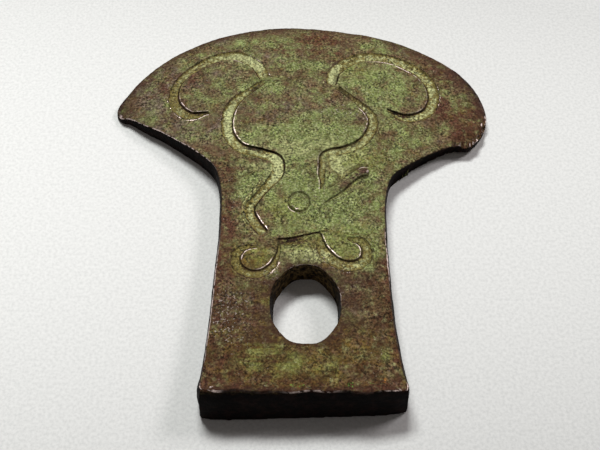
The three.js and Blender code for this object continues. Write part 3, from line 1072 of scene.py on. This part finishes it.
class NodeBench:
    """Places shader nodes in one tree and joins them."""

    def __init__(self, tree: bpy.types.NodeTree) -> None:
        """Start on an empty tree."""
        self.tree = tree
        self.tree.nodes.clear()

    def add(self, kind: str, inputs: dict[Any, Any] | None = None, **settings: Any) -> bpy.types.Node:
        """Place one node.

        Args:
            kind: Blender's name of the node.
            inputs: For each input, a value or the output that feeds it.
            **settings: Values of the node's own properties.

        Returns:
            The new node.
        """
        node = self.tree.nodes.new(kind)
        for name, value in settings.items():
            setattr(node, name, value)
        for name, value in (inputs or {}).items():
            if isinstance(value, bpy.types.NodeSocket):
                self.tree.links.new(value, node.inputs[name])
            else:
                node.inputs[name].default_value = value
        return node

    def maths(
        self, operation: str, first: Any, second: Any = 0.0, clamp: bool = False
    ) -> bpy.types.NodeSocket:
        """Join one or two numbers by a sum, a product or the like.

        Args:
            operation: Blender's name of what is done.
            first: A number or the output that feeds it.
            second: The other number, where there is one.
            clamp: Whether the result is kept between 0 and 1.

        Returns:
            The result.
        """
        node = self.add("ShaderNodeMath", {0: first, 1: second}, operation=operation, use_clamp=clamp)
        return node.outputs[0]

    def mix(self, share: Any, first: Any, second: Any, blend: str = "MIX") -> bpy.types.NodeSocket:
        """Mix two colours, from the first at share 0 to the second at share 1.

        Args:
            share: A number or the output that feeds it.
            first: A colour or the output that feeds it.
            second: The other colour.
            blend: Blender's name of the way to mix.

        Returns:
            The mixed colour.
        """
        colours = [(*colour, 1.0) if isinstance(colour, tuple) else colour for colour in (first, second)]
        inputs = {"Factor": share, "A": colours[0], "B": colours[1]}
        node = self.tree.nodes.new("ShaderNodeMix")
        node.data_type = "RGBA"
        node.blend_type = blend
        node.clamp_factor = True
        for name, value in inputs.items():
            kind = "VALUE" if name == "Factor" else "RGBA"
            socket = next(one for one in node.inputs if one.name == name and one.type == kind)
            if isinstance(value, bpy.types.NodeSocket):
                self.tree.links.new(value, socket)
            else:
                socket.default_value = value
        return next(one for one in node.outputs if one.type == "RGBA")

    def smooth_step(self, value: Any, low: Any, high: Any) -> bpy.types.NodeSocket:
        """Ease a number from 0 at one bound to 1 at the other.

        Args:
            value: The number.
            low: Where it starts.
            high: Where it ends; below low, the number falls.

        Returns:
            The eased number.
        """
        node = self.add(
            "ShaderNodeMapRange",
            {"Value": value, "From Min": low, "From Max": high},
            interpolation_type="SMOOTHSTEP",
        )
        return node.outputs["Result"]

    def window(self, value: Any, low: float, high: float, softness: float) -> bpy.types.NodeSocket:
        """Give 1 while a number is between two bounds and 0 outside them, with soft flanks.

        Args:
            value: The number.
            low: The lower bound.
            high: The upper bound.
            softness: Half the width of each flank.

        Returns:
            The mask.
        """
        above = self.smooth_step(value, low - softness, low + softness)
        below = self.smooth_step(value, high + softness, high - softness)
        return self.maths("MULTIPLY", above, below)

    def scaled(self, value: Any, gain: float, base: float = 0.0) -> bpy.types.NodeSocket:
        """Multiply a number by a gain and add a base."""
        node = self.add("ShaderNodeMath", {0: value, 1: gain, 2: base}, operation="MULTIPLY_ADD")
        return node.outputs[0]

    def group(self, tree: bpy.types.NodeTree, inputs: dict[str, Any]) -> Any:
        """Place a node group and return its outputs."""
        return self.add("ShaderNodeGroup", inputs, node_tree=tree).outputs

    def layer(self, name: str) -> bpy.types.NodeSocket:
        """Read one of the casting's vertex attributes."""
        return self.add("ShaderNodeAttribute", attribute_name=name).outputs["Fac"]

    def millimetres(self) -> bpy.types.NodeSocket:
        """Read the place on the object, in millimetres."""
        place = self.add("ShaderNodeTexCoord").outputs["Object"]
        scaled = self.add("ShaderNodeVectorMath", {0: place, "Scale": 1.0 / MM}, operation="SCALE")
        return scaled.outputs[0]


def group_with(name: str, inputs: dict[str, tuple[str, Any]], outputs: Sequence[str]) -> bpy.types.NodeTree:
    """Make an empty shader node group with named sockets.

    Args:
        name: The group's name.
        inputs: For each input, the kind of its socket and its value.
        outputs: Names of the outputs, all plain numbers.

    Returns:
        The group.
    """
    group = bpy.data.node_groups.new(name, "ShaderNodeTree")
    for label, (kind, value) in inputs.items():
        socket = group.interface.new_socket(label, in_out="INPUT", socket_type=kind)
        if value is not None:
            socket.default_value = value
    for label in outputs:
        group.interface.new_socket(label, in_out="OUTPUT", socket_type="NodeSocketFloat")
    return group


class Effects:
    """The shader groups that the finishes share."""

    def __init__(self) -> None:
        """Build each group once."""
        self.patchy = self._build_patchy()
        self.grain = self._build_grain()

    def _build_patchy(self) -> bpy.types.NodeTree:
        """Build the mask of ragged patches: the weight says how much of the surface they cover.

        Returns:
            The group.
        """
        number = "NodeSocketFloat"
        group = group_with("Patchy", {
            "Place": ("NodeSocketVector", None),
            "Size": (number, 2.0),
            "Weight": (number, 0.5),
            "Softness": (number, 0.15),
            "Seed": (number, 0.0),
        }, ("Mask",))
        bench = NodeBench(group)
        given = bench.add("NodeGroupInput").outputs
        shift = bench.add("ShaderNodeCombineXYZ", {0: given["Seed"], 1: given["Seed"], 2: 0.0}).outputs[0]
        place = bench.add("ShaderNodeVectorMath", {0: given["Place"], 1: shift}, operation="ADD").outputs[0]
        noise = bench.add("ShaderNodeTexNoise", {
            "Vector": place,
            "Scale": bench.maths("DIVIDE", 1.0, given["Size"]),
            "Detail": 5.0,
            "Roughness": 0.62,
        }).outputs["Fac"]
        level = bench.maths("ADD", bench.scaled(noise, 3.2, -1.6), given["Weight"])
        low = bench.maths("SUBTRACT", 0.5, given["Softness"])
        high = bench.maths("ADD", 0.5, given["Softness"])
        bench.add("NodeGroupOutput", {"Mask": bench.smooth_step(level, low, high)})
        return group

    def _build_grain(self) -> bpy.types.NodeTree:
        """Build the fine grain: one height for bumps and one value that lightens and darkens.

        Returns:
            The group.
        """
        group = group_with("Grain", {
            "Place": ("NodeSocketVector", None),
            "Size": ("NodeSocketFloat", 0.6),
        }, ("Height", "Speck"))
        bench = NodeBench(group)
        given = bench.add("NodeGroupInput").outputs
        scale = bench.maths("DIVIDE", 1.0, given["Size"])
        height = bench.add("ShaderNodeTexNoise", {
            "Vector": given["Place"], "Scale": scale, "Detail": 3.0, "Roughness": 0.65,
        }).outputs["Fac"]
        shift = {0: given["Place"], 1: (31.0, 17.0, 5.0)}
        aside = bench.add("ShaderNodeVectorMath", shift, operation="ADD")
        speck = bench.add("ShaderNodeTexNoise", {
            "Vector": aside.outputs[0], "Scale": scale, "Detail": 2.0, "Roughness": 0.7,
        }).outputs["Fac"]
        bench.add("NodeGroupOutput", {"Height": height, "Speck": bench.smooth_step(speck, 0.32, 0.68)})
        return group


@dataclass(frozen=True)
class Ragged:
    """A spread of ragged patches: their size in millimetres, their cover, their softness and a seed."""

    size: float
    cover: float
    softness: float
    seed: float


@dataclass(frozen=True)
class Clouds:
    """How a painted layer turns into soft clouds that break up into fine grains."""

    layer: str
    size: float
    gain: float
    base: float
    seed: float
    softness: float = 0.7
    share: float = 0.65
    grain_size: float = 0.6
    grain_softness: float = 0.42
    grain_gain: float = 1.1
    grain_base: float = -0.08


class PaintedBench(NodeBench):
    """A bench that reads the layers painted on the casting and breaks them up."""

    def __init__(self, tree: bpy.types.NodeTree, effects: Effects) -> None:
        """Start on an empty tree with the shared effects at hand."""
        super().__init__(tree)
        self.effects = effects
        self.place = self.millimetres()

    def patchy(self, look: Ragged, cover: Any = None) -> bpy.types.NodeSocket:
        """Place ragged patches, with their own cover or with one that changes over the casting.

        Args:
            look: How the patches look.
            cover: What feeds their cover, where it changes.

        Returns:
            The mask of the patches.
        """
        return self.group(self.effects.patchy, {
            "Place": self.place,
            "Size": look.size,
            "Weight": look.cover if cover is None else cover,
            "Softness": look.softness,
            "Seed": look.seed,
        })["Mask"]

    def weighted(self, name: str, gain: float, base: float = 0.0) -> bpy.types.NodeSocket:
        """Turn a painted layer into a weight: gain times the layer, plus a base."""
        return self.scaled(self.layer(name), gain, base)

    def broken(self, name: str, look: Ragged) -> bpy.types.NodeSocket:
        """Break a painted layer up into ragged patches."""
        return self.maths("MULTIPLY", self.layer(name), self.patchy(look))

    def clouded(self, clouds: Clouds, held: Any = 0.0) -> bpy.types.NodeSocket:
        """Turn a painted layer into clouds and grains, less where it is held back.

        Args:
            clouds: How the clouds look.
            held: How much is taken off the weight.

        Returns:
            The mask of the clouds.
        """
        cover = self.maths("SUBTRACT", self.weighted(clouds.layer, clouds.gain, clouds.base), held)
        cloud = self.patchy(Ragged(clouds.size, 0.0, clouds.softness, clouds.seed), cover)
        grain = Ragged(clouds.grain_size, 0.0, clouds.grain_softness, clouds.seed + 2.0)
        grains = self.patchy(grain, self.scaled(cloud, clouds.grain_gain, clouds.grain_base))
        return self.maths("ADD", self.scaled(cloud, clouds.share), self.scaled(grains, 1.0 - clouds.share))

    def both(self, first: Any, second: Any) -> bpy.types.NodeSocket:
        """Say how much of one mask lies in the other."""
        return self.maths("MULTIPLY", first, second)

    def either(self, *masks: Any) -> bpy.types.NodeSocket:
        """Take the strongest of some masks."""
        strongest = masks[0]
        for mask in masks[1:]:
            strongest = self.maths("MAXIMUM", strongest, mask)
        return strongest


@dataclass(frozen=True)
class BronzeColours:
    """The colours of old cast bronze: oxides, verdigris, earth and bare metal, with painted shade and
    painted highlights.
    """

    dark_brown: Colour = (0.060, 0.038, 0.016)
    brown: Colour = (0.128, 0.078, 0.040)
    light_brown: Colour = (0.215, 0.148, 0.088)
    red: Colour = (0.095, 0.038, 0.024)
    violet: Colour = (0.082, 0.056, 0.044)
    light_violet: Colour = (0.240, 0.190, 0.150)
    rust: Colour = (0.170, 0.085, 0.048)
    umber: Colour = (0.054, 0.023, 0.010)
    ochre: Colour = (0.140, 0.092, 0.020)
    green: Colour = (0.135, 0.162, 0.046)
    light_green: Colour = (0.235, 0.300, 0.095)
    pale_green: Colour = (0.430, 0.470, 0.250)
    yellow_green: Colour = (0.215, 0.225, 0.045)
    pale: Colour = (0.350, 0.370, 0.165)
    pale_earth: Colour = (0.435, 0.460, 0.222)
    dark_earth: Colour = (0.170, 0.140, 0.042)
    bright_green: Colour = (0.120, 0.300, 0.050)
    orange: Colour = (0.400, 0.140, 0.015)
    glint: Colour = (0.540, 0.460, 0.410)
    pit: Colour = (0.022, 0.014, 0.008)
    ear: Colour = (0.095, 0.050, 0.038)
    rim: Colour = (0.044, 0.019, 0.014)
    # The wall colours are near-black painted shade.
    wall: Colour = (0.003, 0.002, 0.002)
    wall_shade_brown: Colour = (0.013, 0.006, 0.005)
    bore: Colour = (0.230, 0.150, 0.060)
    # These dark colours paint dirt and shade in the carving and shade on the arrises.
    dirt_and_shade_black: Colour = (0.008, 0.005, 0.003)
    dirt_and_shade_brown: Colour = (0.048, 0.022, 0.015)
    # The metal colour paints rubbed bronze with painted highlights on it.
    metal: Colour = (0.980, 0.800, 0.740)


@dataclass(frozen=True)
class BronzePatina:
    """Old cast bronze: brown oxide, verdigris, earth in the carving and rubbed arrises, with painted
    highlights on the rubbed metal and painted shade on the walls, the arrises and beside the carving.

    A band gives its two bounds and its softness, in millimetres from an edge of a carved line.
    """

    colours: BronzeColours = BronzeColours()
    brown_mottle: Ragged = Ragged(4.5, 0.5, 0.5, 3.0)
    brown_flecks: Ragged = Ragged(0.6, 0.3, 0.4, 7.0)
    violet_flecks: Ragged = Ragged(1.0, 0.4, 0.4, 15.0)
    violet_clouds: Clouds = Clouds("violet", 4.0, 0.9, 0.0, 11.0)
    red_clouds: Clouds = Clouds("red", 3.5, 1.1, 0.12, 19.0)
    ochre_stains: Ragged = Ragged(2.4, 0.0, 0.5, 27.0)
    ochre_share: float = 0.7
    green_mottle: Ragged = Ragged(2.6, 0.45, 0.5, 41.0)
    green_flecks: Ragged = Ragged(0.55, 0.22, 0.35, 43.0)
    green_clouds: Clouds = Clouds("green", 4.5, 0.92, 0.2, 37.0)
    green_held_by_red: float = 0.3
    rust_flecks: Ragged = Ragged(1.1, 0.1, 0.35, 45.0)
    rust_share: float = 0.4
    umber_clouds: Clouds = Clouds("umber", 4.0, 0.9, -0.1, 31.0)
    umber_share: float = 0.88
    pale_clouds: Clouds = Clouds("pale", 2.0, 0.95, -0.16, 47.0)
    line_wobble: Ragged = Ragged(1.4, 0.5, 1.0, 53.0)
    earth_mottle: Ragged = Ragged(1.2, 0.0, 0.4, 61.0)
    earth_breaks: Ragged = Ragged(1.2, 0.9, 0.4, 59.0)
    green_spots: Ragged = Ragged(0.8, 0.0, 0.3, 67.0)
    orange_spots: Ragged = Ragged(0.8, 0.0, 0.3, 71.0)
    ear_breaks: Ragged = Ragged(1.4, 0.8, 0.3, 73.0)
    grain_size: float = 0.7
    grain_areas: Ragged = Ragged(5.0, 0.5, 0.6, 57.0)
    tone: float = 0.92
    pit_share: float = 0.75
    blotches: Ragged = Ragged(1.7, 0.0, 0.15, 77.0)
    pits: Ragged = Ragged(0.65, 0.0, 0.15, 79.0)
    glints: Ragged = Ragged(0.6, 0.0, 0.15, 89.0)
    rim_breaks: Ragged = Ragged(1.8, 0.8, 0.4, 101.0)
    wall_shade_mottle: Ragged = Ragged(2.5, 0.3, 0.5, 83.0)
    bore_breaks: Ragged = Ragged(1.2, 0.4, 0.5, 85.0)
    foot_shade_and_dirt_breaks: Ragged = Ragged(1.6, 0.95, 0.35, 91.0)
    outer_breaks: Ragged = Ragged(1.5, 0.8, 0.3, 93.0)
    shadow_and_dirt_breaks: Ragged = Ragged(1.1, 0.75, 0.3, 95.0)
    arris_shade_breaks: Ragged = Ragged(2.0, 0.75, 0.4, 94.0)
    dirt_and_shade_mottle: Ragged = Ragged(2.0, 0.4, 0.35, 99.0)
    gleam_breaks: Ragged = Ragged(1.3, 0.6, 0.25, 97.0)
    foot_shade_and_dirt_band: Band = (-0.55, -0.03, 0.1)
    outer_band: Band = (-0.15, 0.25, 0.12)
    shadow_and_dirt_band: Band = (-1.6, -0.05, 0.2)
    steep_rub_highlight: Band = (0.02, 0.28, 0.07)
    outer_rub_highlight: Band = (-0.5, -0.2, 0.1)
    relief_mottle: Ragged = Ragged(2.0, 0.5, 0.8, 5.0)
    bump_height: float = 0.09
    specular_level: float = 0.04
    roughness: float = 0.62
    worn_polish: float = 0.3
    worn_metal: float = 0.25

    def material(self, effects: Effects) -> bpy.types.Material:
        """Build the material.

        Args:
            effects: The shader groups to place in it.

        Returns:
            The material.
        """
        material = bpy.data.materials.new("bronze_patina")
        material.use_nodes = True
        bench = PaintedBench(material.node_tree, effects)
        wobble = bench.patchy(self.line_wobble)
        gap = bench.maths("ADD", bench.layer("gap"), bench.scaled(wobble, 0.2, -0.1))
        inside = bench.maths("ADD", bench.layer("inside"), bench.scaled(wobble, 0.8, -0.4))
        grain = bench.group(effects.grain, {"Place": bench.place, "Size": self.grain_size})
        colour = self._verdigris(bench, self._oxides(bench))
        colour = self._earth(bench, colour, gap, inside)
        colour = self._spots(bench, colour)
        colour = self._grit(bench, self._shade(bench, colour, grain["Speck"]))
        # The steep walls get painted shade.
        colour = self._paint_wall_shade(bench, colour)
        # Painted shade and dark dirt go into the carving, and painted shade onto the arrises.
        colour = self._dirt_and_painted_shade(bench, colour, gap, inside)
        # The worn mask is rubbed metal with painted highlights.
        worn = self._rubbed_and_highlit(bench, gap, inside)
        relief = bench.scaled(bench.patchy(self.relief_mottle), 0.7)
        normal = bench.add("ShaderNodeBump", {
            "Height": bench.maths("ADD", relief, grain["Height"]),
            "Strength": 1.0,
            "Distance": self.bump_height * MM,
        }).outputs["Normal"]
        surface = bench.add("ShaderNodeBsdfPrincipled", {
            "Base Color": bench.mix(worn, colour, self.colours.metal),
            "Roughness": bench.scaled(worn, -self.worn_polish, self.roughness),
            "Metallic": bench.scaled(worn, self.worn_metal),
            "Normal": normal,
            "Specular IOR Level": self.specular_level,
        })
        bench.add("ShaderNodeOutputMaterial", {"Surface": surface.outputs[0]})
        return material

    def _oxides(self, bench: PaintedBench) -> bpy.types.NodeSocket:
        """Mix the brown, violet, red and ochre oxides that lie next to the metal.

        Args:
            bench: The bench to work on.

        Returns:
            The colour of the oxides.
        """
        tones = self.colours
        browns = bench.mix(bench.patchy(self.brown_mottle), tones.dark_brown, tones.brown)
        browns = bench.mix(bench.patchy(self.brown_flecks), browns, tones.light_brown)
        violets = bench.mix(bench.patchy(self.violet_flecks), tones.violet, tones.light_violet)
        browns = bench.mix(bench.clouded(self.violet_clouds), browns, violets)
        browns = bench.mix(bench.clouded(self.red_clouds), browns, tones.red)
        ochres = bench.patchy(self.ochre_stains, bench.weighted("ochre", self.ochre_share))
        return bench.mix(ochres, browns, tones.ochre)

    def _verdigris(self, bench: PaintedBench, browns: Any) -> bpy.types.NodeSocket:
        """Lay the green clouds over the oxides, with rust, umber and pale clouds over them.

        Args:
            bench: The bench to work on.
            browns: The colour of the oxides.

        Returns:
            The colour with the verdigris.
        """
        tones = self.colours
        greens = bench.mix(bench.patchy(self.green_mottle), tones.green, tones.light_green)
        greens = bench.mix(bench.patchy(self.green_flecks), greens, tones.pale_green)
        greens = bench.mix(bench.weighted("ochre", self.ochre_share), greens, tones.yellow_green)
        reds = bench.either(bench.layer("red"), bench.layer("umber"))
        held = bench.scaled(reds, self.green_held_by_red)
        colour = bench.mix(bench.clouded(self.green_clouds, held), browns, greens)
        colour = bench.mix(bench.scaled(bench.patchy(self.rust_flecks), self.rust_share), colour, tones.rust)
        umbers = bench.scaled(bench.clouded(self.umber_clouds), self.umber_share)
        colour = bench.mix(umbers, colour, tones.umber)
        return bench.mix(bench.clouded(self.pale_clouds), colour, tones.pale)

    def _earth(self, bench: PaintedBench, colour: Any, gap: Any, inside: Any) -> bpy.types.NodeSocket:
        """Leave earth on the floors of the carved lines, palest along their middle.

        Args:
            bench: The bench to work on.
            colour: The colour without the earth.
            gap: How far a point is past a line's steep arris.
            inside: How far it is inside the line's outer edge.

        Returns:
            The colour with the earth.
        """
        floor = bench.both(bench.smooth_step(inside, -0.1, 0.45), bench.smooth_step(gap, -0.1, -0.3))
        middle = bench.both(bench.smooth_step(inside, 0.3, 1.2), bench.smooth_step(gap, -0.4, -1.2))
        paleness = bench.maths("ADD", bench.weighted("pale", 0.7, -0.2), bench.scaled(middle, 0.7))
        paleness = bench.maths("SUBTRACT", paleness, bench.weighted("ochre", 0.5))
        pale = bench.patchy(self.earth_mottle, paleness)
        earths = bench.mix(pale, self.colours.dark_earth, self.colours.pale_earth)
        return bench.mix(bench.both(floor, bench.broken("earth", self.earth_breaks)), colour, earths)

    def _spots(self, bench: PaintedBench, colour: Any) -> bpy.types.NodeSocket:
        """Add the few bright green and orange spots and the brown of the worn ear.

        Args:
            bench: The bench to work on.
            colour: The colour without them.

        Returns:
            The colour with them.
        """
        bright = bench.patchy(self.green_spots, bench.weighted("bright_green", 1.0, -0.7))
        orange = bench.patchy(self.orange_spots, bench.weighted("orange", 0.9, -0.7))
        colour = bench.mix(bright, colour, self.colours.bright_green)
        colour = bench.mix(orange, colour, self.colours.orange)
        return bench.mix(bench.broken("ear", self.ear_breaks), colour, self.colours.ear)

    def _shade(self, bench: PaintedBench, colour: Any, speck: Any) -> bpy.types.NodeSocket:
        """Lighten and darken the colour by its grain, more in some areas than in others.

        Args:
            bench: The bench to work on.
            colour: The even colour.
            speck: What feeds the light and dark of the grain.

        Returns:
            The grained colour.
        """
        strength = bench.scaled(bench.patchy(self.grain_areas), 1.1, 0.6)
        shade = bench.both(bench.scaled(speck, 1.0, -0.5), strength)
        return bench.mix(1.0, colour, bench.scaled(shade, 1.0, self.tone), blend="MULTIPLY")

    def _grit(self, bench: PaintedBench, colour: Any) -> bpy.types.NodeSocket:
        """Add dark blotches, pits and glints, more of them where the skin is gritty.

        Args:
            bench: The bench to work on.
            colour: The colour without them.

        Returns:
            The colour with them and with the dark rims.
        """
        for look, gain, base, tone in (
            (self.blotches, 0.42, -0.32, self.colours.pit),
            (self.pits, 0.2, 0.0, self.colours.pit),
            (self.glints, 0.3, -0.14, self.colours.glint),
        ):
            spots = bench.patchy(look, bench.weighted("grit", gain, base))
            colour = bench.mix(bench.scaled(spots, self.pit_share), colour, tone)
        return bench.mix(bench.broken("rim", self.rim_breaks), colour, self.colours.rim)

    def _paint_wall_shade(self, bench: PaintedBench, colour: Any) -> bpy.types.NodeSocket:
        """Paint near-black shade on the steep walls, and leave the far wall of the hole a little lighter.

        Args:
            bench: The bench to work on.
            colour: The colour of the face.

        Returns:
            The colour of face and walls.
        """
        tones = self.colours
        walls = bench.mix(bench.patchy(self.wall_shade_mottle), tones.wall, tones.wall_shade_brown)
        walls = bench.mix(bench.scaled(bench.broken("bore", self.bore_breaks), 0.8), walls, tones.bore)
        return bench.mix(bench.layer("wall"), colour, walls)

    def _dirt_and_painted_shade(self, bench: PaintedBench, colour: Any, gap: Any, inside: Any) -> bpy.types.NodeSocket:
        """Darken the feet of the carved walls with painted shade and dark dirt, the floor beside some walls
        with painted shadow and dark dirt, the outer edges and small marks with dirt, and the arrises with
        painted shade.

        Args:
            bench: The bench to work on.
            colour: The colour without them.
            gap: How far a point is past a line's steep arris.
            inside: How far it is inside the line's outer edge.

        Returns:
            The colour with them.
        """
        # The feet of the steep walls get painted shade with dark dirt.
        foot = bench.both(bench.window(gap, *self.foot_shade_and_dirt_band), bench.broken("line", self.foot_shade_and_dirt_breaks))
        edge_line = bench.scaled(bench.broken("line", self.outer_breaks), 0.8)
        outer = bench.both(bench.window(inside, *self.outer_band), edge_line)
        # Painted shadow with dark dirt on the floor beside the steep walls, where its patches lie.
        shadow_and_dirt = bench.both(bench.window(gap, *self.shadow_and_dirt_band), bench.broken("shadow_and_dirt", self.shadow_and_dirt_breaks))
        marked = bench.weighted("mark", 0.6)
        # The arrises are darkened with painted shade.
        dark = bench.either(foot, outer, shadow_and_dirt, marked, bench.broken("arris", self.arris_shade_breaks))
        mottle = bench.patchy(self.dirt_and_shade_mottle)
        return bench.mix(dark, colour, bench.mix(mottle, self.colours.dirt_and_shade_black, self.colours.dirt_and_shade_brown))

    def _rubbed_and_highlit(self, bench: PaintedBench, gap: Any, inside: Any) -> bpy.types.NodeSocket:
        """Say where the metal is rubbed bright and carries painted highlights: along the arrises of the
        carving and of the casting, mostly where the gleam patches lie.

        Args:
            bench: The bench to work on.
            gap: How far a point is past a line's steep arris.
            inside: How far it is inside the line's outer edge.

        Returns:
            The mask of the rubbed metal and its painted highlights.
        """
        beside = bench.either(bench.window(gap, *self.steep_rub_highlight), bench.window(inside, *self.outer_rub_highlight))
        # The rubbed mask also places painted highlights.
        rubbed = bench.both(beside, bench.smooth_step(bench.layer("line"), 0.2, 0.6))
        edges = bench.either(rubbed, bench.smooth_step(bench.layer("arris"), 0.4, 0.9))
        # The gleam patches say where the painted highlights lie.
        gleam = bench.both(bench.patchy(self.gleam_breaks), bench.weighted("gleam", 1.4, 0.03))
        return bench.maths("MULTIPLY", edges, gleam, clamp=True)


@dataclass(frozen=True)
class PaperFloor:
    """The plain pale sheet that the axe head lies on. Its colour darkens a little to the right, far and
    near: a painted falloff of the light.
    """

    colour: Colour = (0.892, 0.912, 0.897)
    fleck: Colour = (0.745, 0.765, 0.755)
    speck: Colour = (0.520, 0.510, 0.500)
    darker_to_right: float = 0.0009
    darker_away: float = 0.000020
    brightest_y: float = 3.0
    least_tone: float = 0.8
    half_size: float = 1500.0

    def build(self, effects: Effects) -> bpy.types.Object:
        """Lay the sheet and give it its faint mottling and its painted falloff of light.

        Args:
            effects: The shader groups to place in its material.

        Returns:
            The sheet.
        """
        bpy.ops.object.select_all(action="DESELECT")
        bpy.ops.mesh.primitive_plane_add(size=2.0 * self.half_size * MM)
        floor = bpy.context.active_object
        floor.name = "floor"
        material = bpy.data.materials.new("pale_paper")
        material.use_nodes = True
        bench = NodeBench(material.node_tree)
        place = bench.millimetres()
        mottle = bench.group(effects.patchy, {"Place": place, "Size": 0.9, "Weight": 0.4, "Softness": 0.7})
        specks = bench.group(effects.patchy, {
            "Place": place, "Size": 1.1, "Weight": -0.5, "Softness": 0.1, "Seed": 13.0,
        })
        colour = bench.mix(mottle["Mask"], self.colour, self.fleck)
        colour = bench.mix(bench.scaled(specks["Mask"], 0.4), colour, self.speck)
        # The tone paints the falloff of the light across the sheet.
        axes = bench.add("ShaderNodeSeparateXYZ", {0: place}).outputs
        off_middle = bench.scaled(axes["Y"], 1.0, -self.brightest_y)
        away = bench.maths("MULTIPLY", off_middle, off_middle)
        rightwards = bench.scaled(axes["X"], -self.darker_to_right, 1.0)
        tone = bench.maths("SUBTRACT", rightwards, bench.scaled(away, self.darker_away))
        tone = bench.maths("MAXIMUM", tone, self.least_tone)
        surface = bench.add("ShaderNodeBsdfPrincipled", {
            "Base Color": bench.mix(1.0, colour, tone, blend="MULTIPLY"),
            "Roughness": 0.9,
            "Specular IOR Level": 0.2,
        })
        bench.add("ShaderNodeOutputMaterial", {"Surface": surface.outputs[0]})
        floor.data.materials.append(material)
        return floor


@dataclass(frozen=True)
class SoftLight:
    """A flat soft light that is aimed at the middle of the axe head. Its sizes are metres."""

    name: str
    towards: tuple[float, float, float]
    distance: float
    width: float
    height: float
    power: float
    colour: Colour = (1.0, 1.0, 1.0)

    def build(self) -> bpy.types.Object:
        """Place the light."""
        place = Vector(self.towards).normalized() * self.distance
        bpy.ops.object.light_add(type="AREA", location=place)
        light = bpy.context.active_object
        light.name = self.name
        light.rotation_euler = place.to_track_quat("Z", "Y").to_euler()
        light.data.shape = "RECTANGLE"
        light.data.size = self.width
        light.data.size_y = self.height
        light.data.energy = self.power
        light.data.color = self.colour
        return light


@dataclass
class Studio:
    """The camera, the floor and the soft lights."""

    camera_place: tuple[float, float, float] = (-0.217, -162.466, 245.372)
    camera_tilt: float = 32.0
    focal_length: float = 57.0
    sensor_width: float = 36.0
    world_light: float = 0.10
    world_colour: Colour = (1.0, 0.90, 0.86)
    lights: Sequence[SoftLight] = (
        SoftLight("key", (-0.17, 0.70, 1.0), 2.0, 0.8, 0.36, 36.0, (1.0, 1.0, 0.985)),
        SoftLight("fill", (0.98, 0.62, 1.0), 1.2, 0.3, 0.3, 4.8, (1.0, 0.93, 0.94)),
    )

    def build(self, effects: Effects) -> None:
        """Set the camera, the floor and the lights."""
        tilt = math.radians(self.camera_tilt)
        bpy.ops.object.camera_add(location=Vector(self.camera_place) * MM, rotation=(tilt, 0.0, 0.0))
        camera = bpy.context.active_object
        camera.data.sensor_width = self.sensor_width
        camera.data.lens = self.focal_length
        camera.data.clip_start = 10.0 * MM
        bpy.context.scene.camera = camera
        PaperFloor().build(effects)
        for light in self.lights:
            light.build()
        world = bpy.data.worlds.new("studio")
        world.use_nodes = True
        background = world.node_tree.nodes["Background"].inputs
        background["Color"].default_value = (*self.world_colour, 1.0)
        background["Strength"].default_value = self.world_light
        bpy.context.scene.world = world
        bpy.context.scene.view_settings.view_transform = "Standard"


def main() -> None:
    """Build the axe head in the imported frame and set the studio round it."""
    logging.basicConfig(level=logging.INFO, format="%(name)s: %(message)s")
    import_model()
    effects = Effects()
    casting = AxeHead().build()
    casting.data.materials.append(BronzePatina().material(effects))
    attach(casting, "root")
    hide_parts("axe_head")
    LOG.info("%s: %d triangles", casting.name, len(casting.data.polygons))
    Studio().build(effects)
    bpy.context.view_layer.update()


if __name__ == "__main__":
    main()
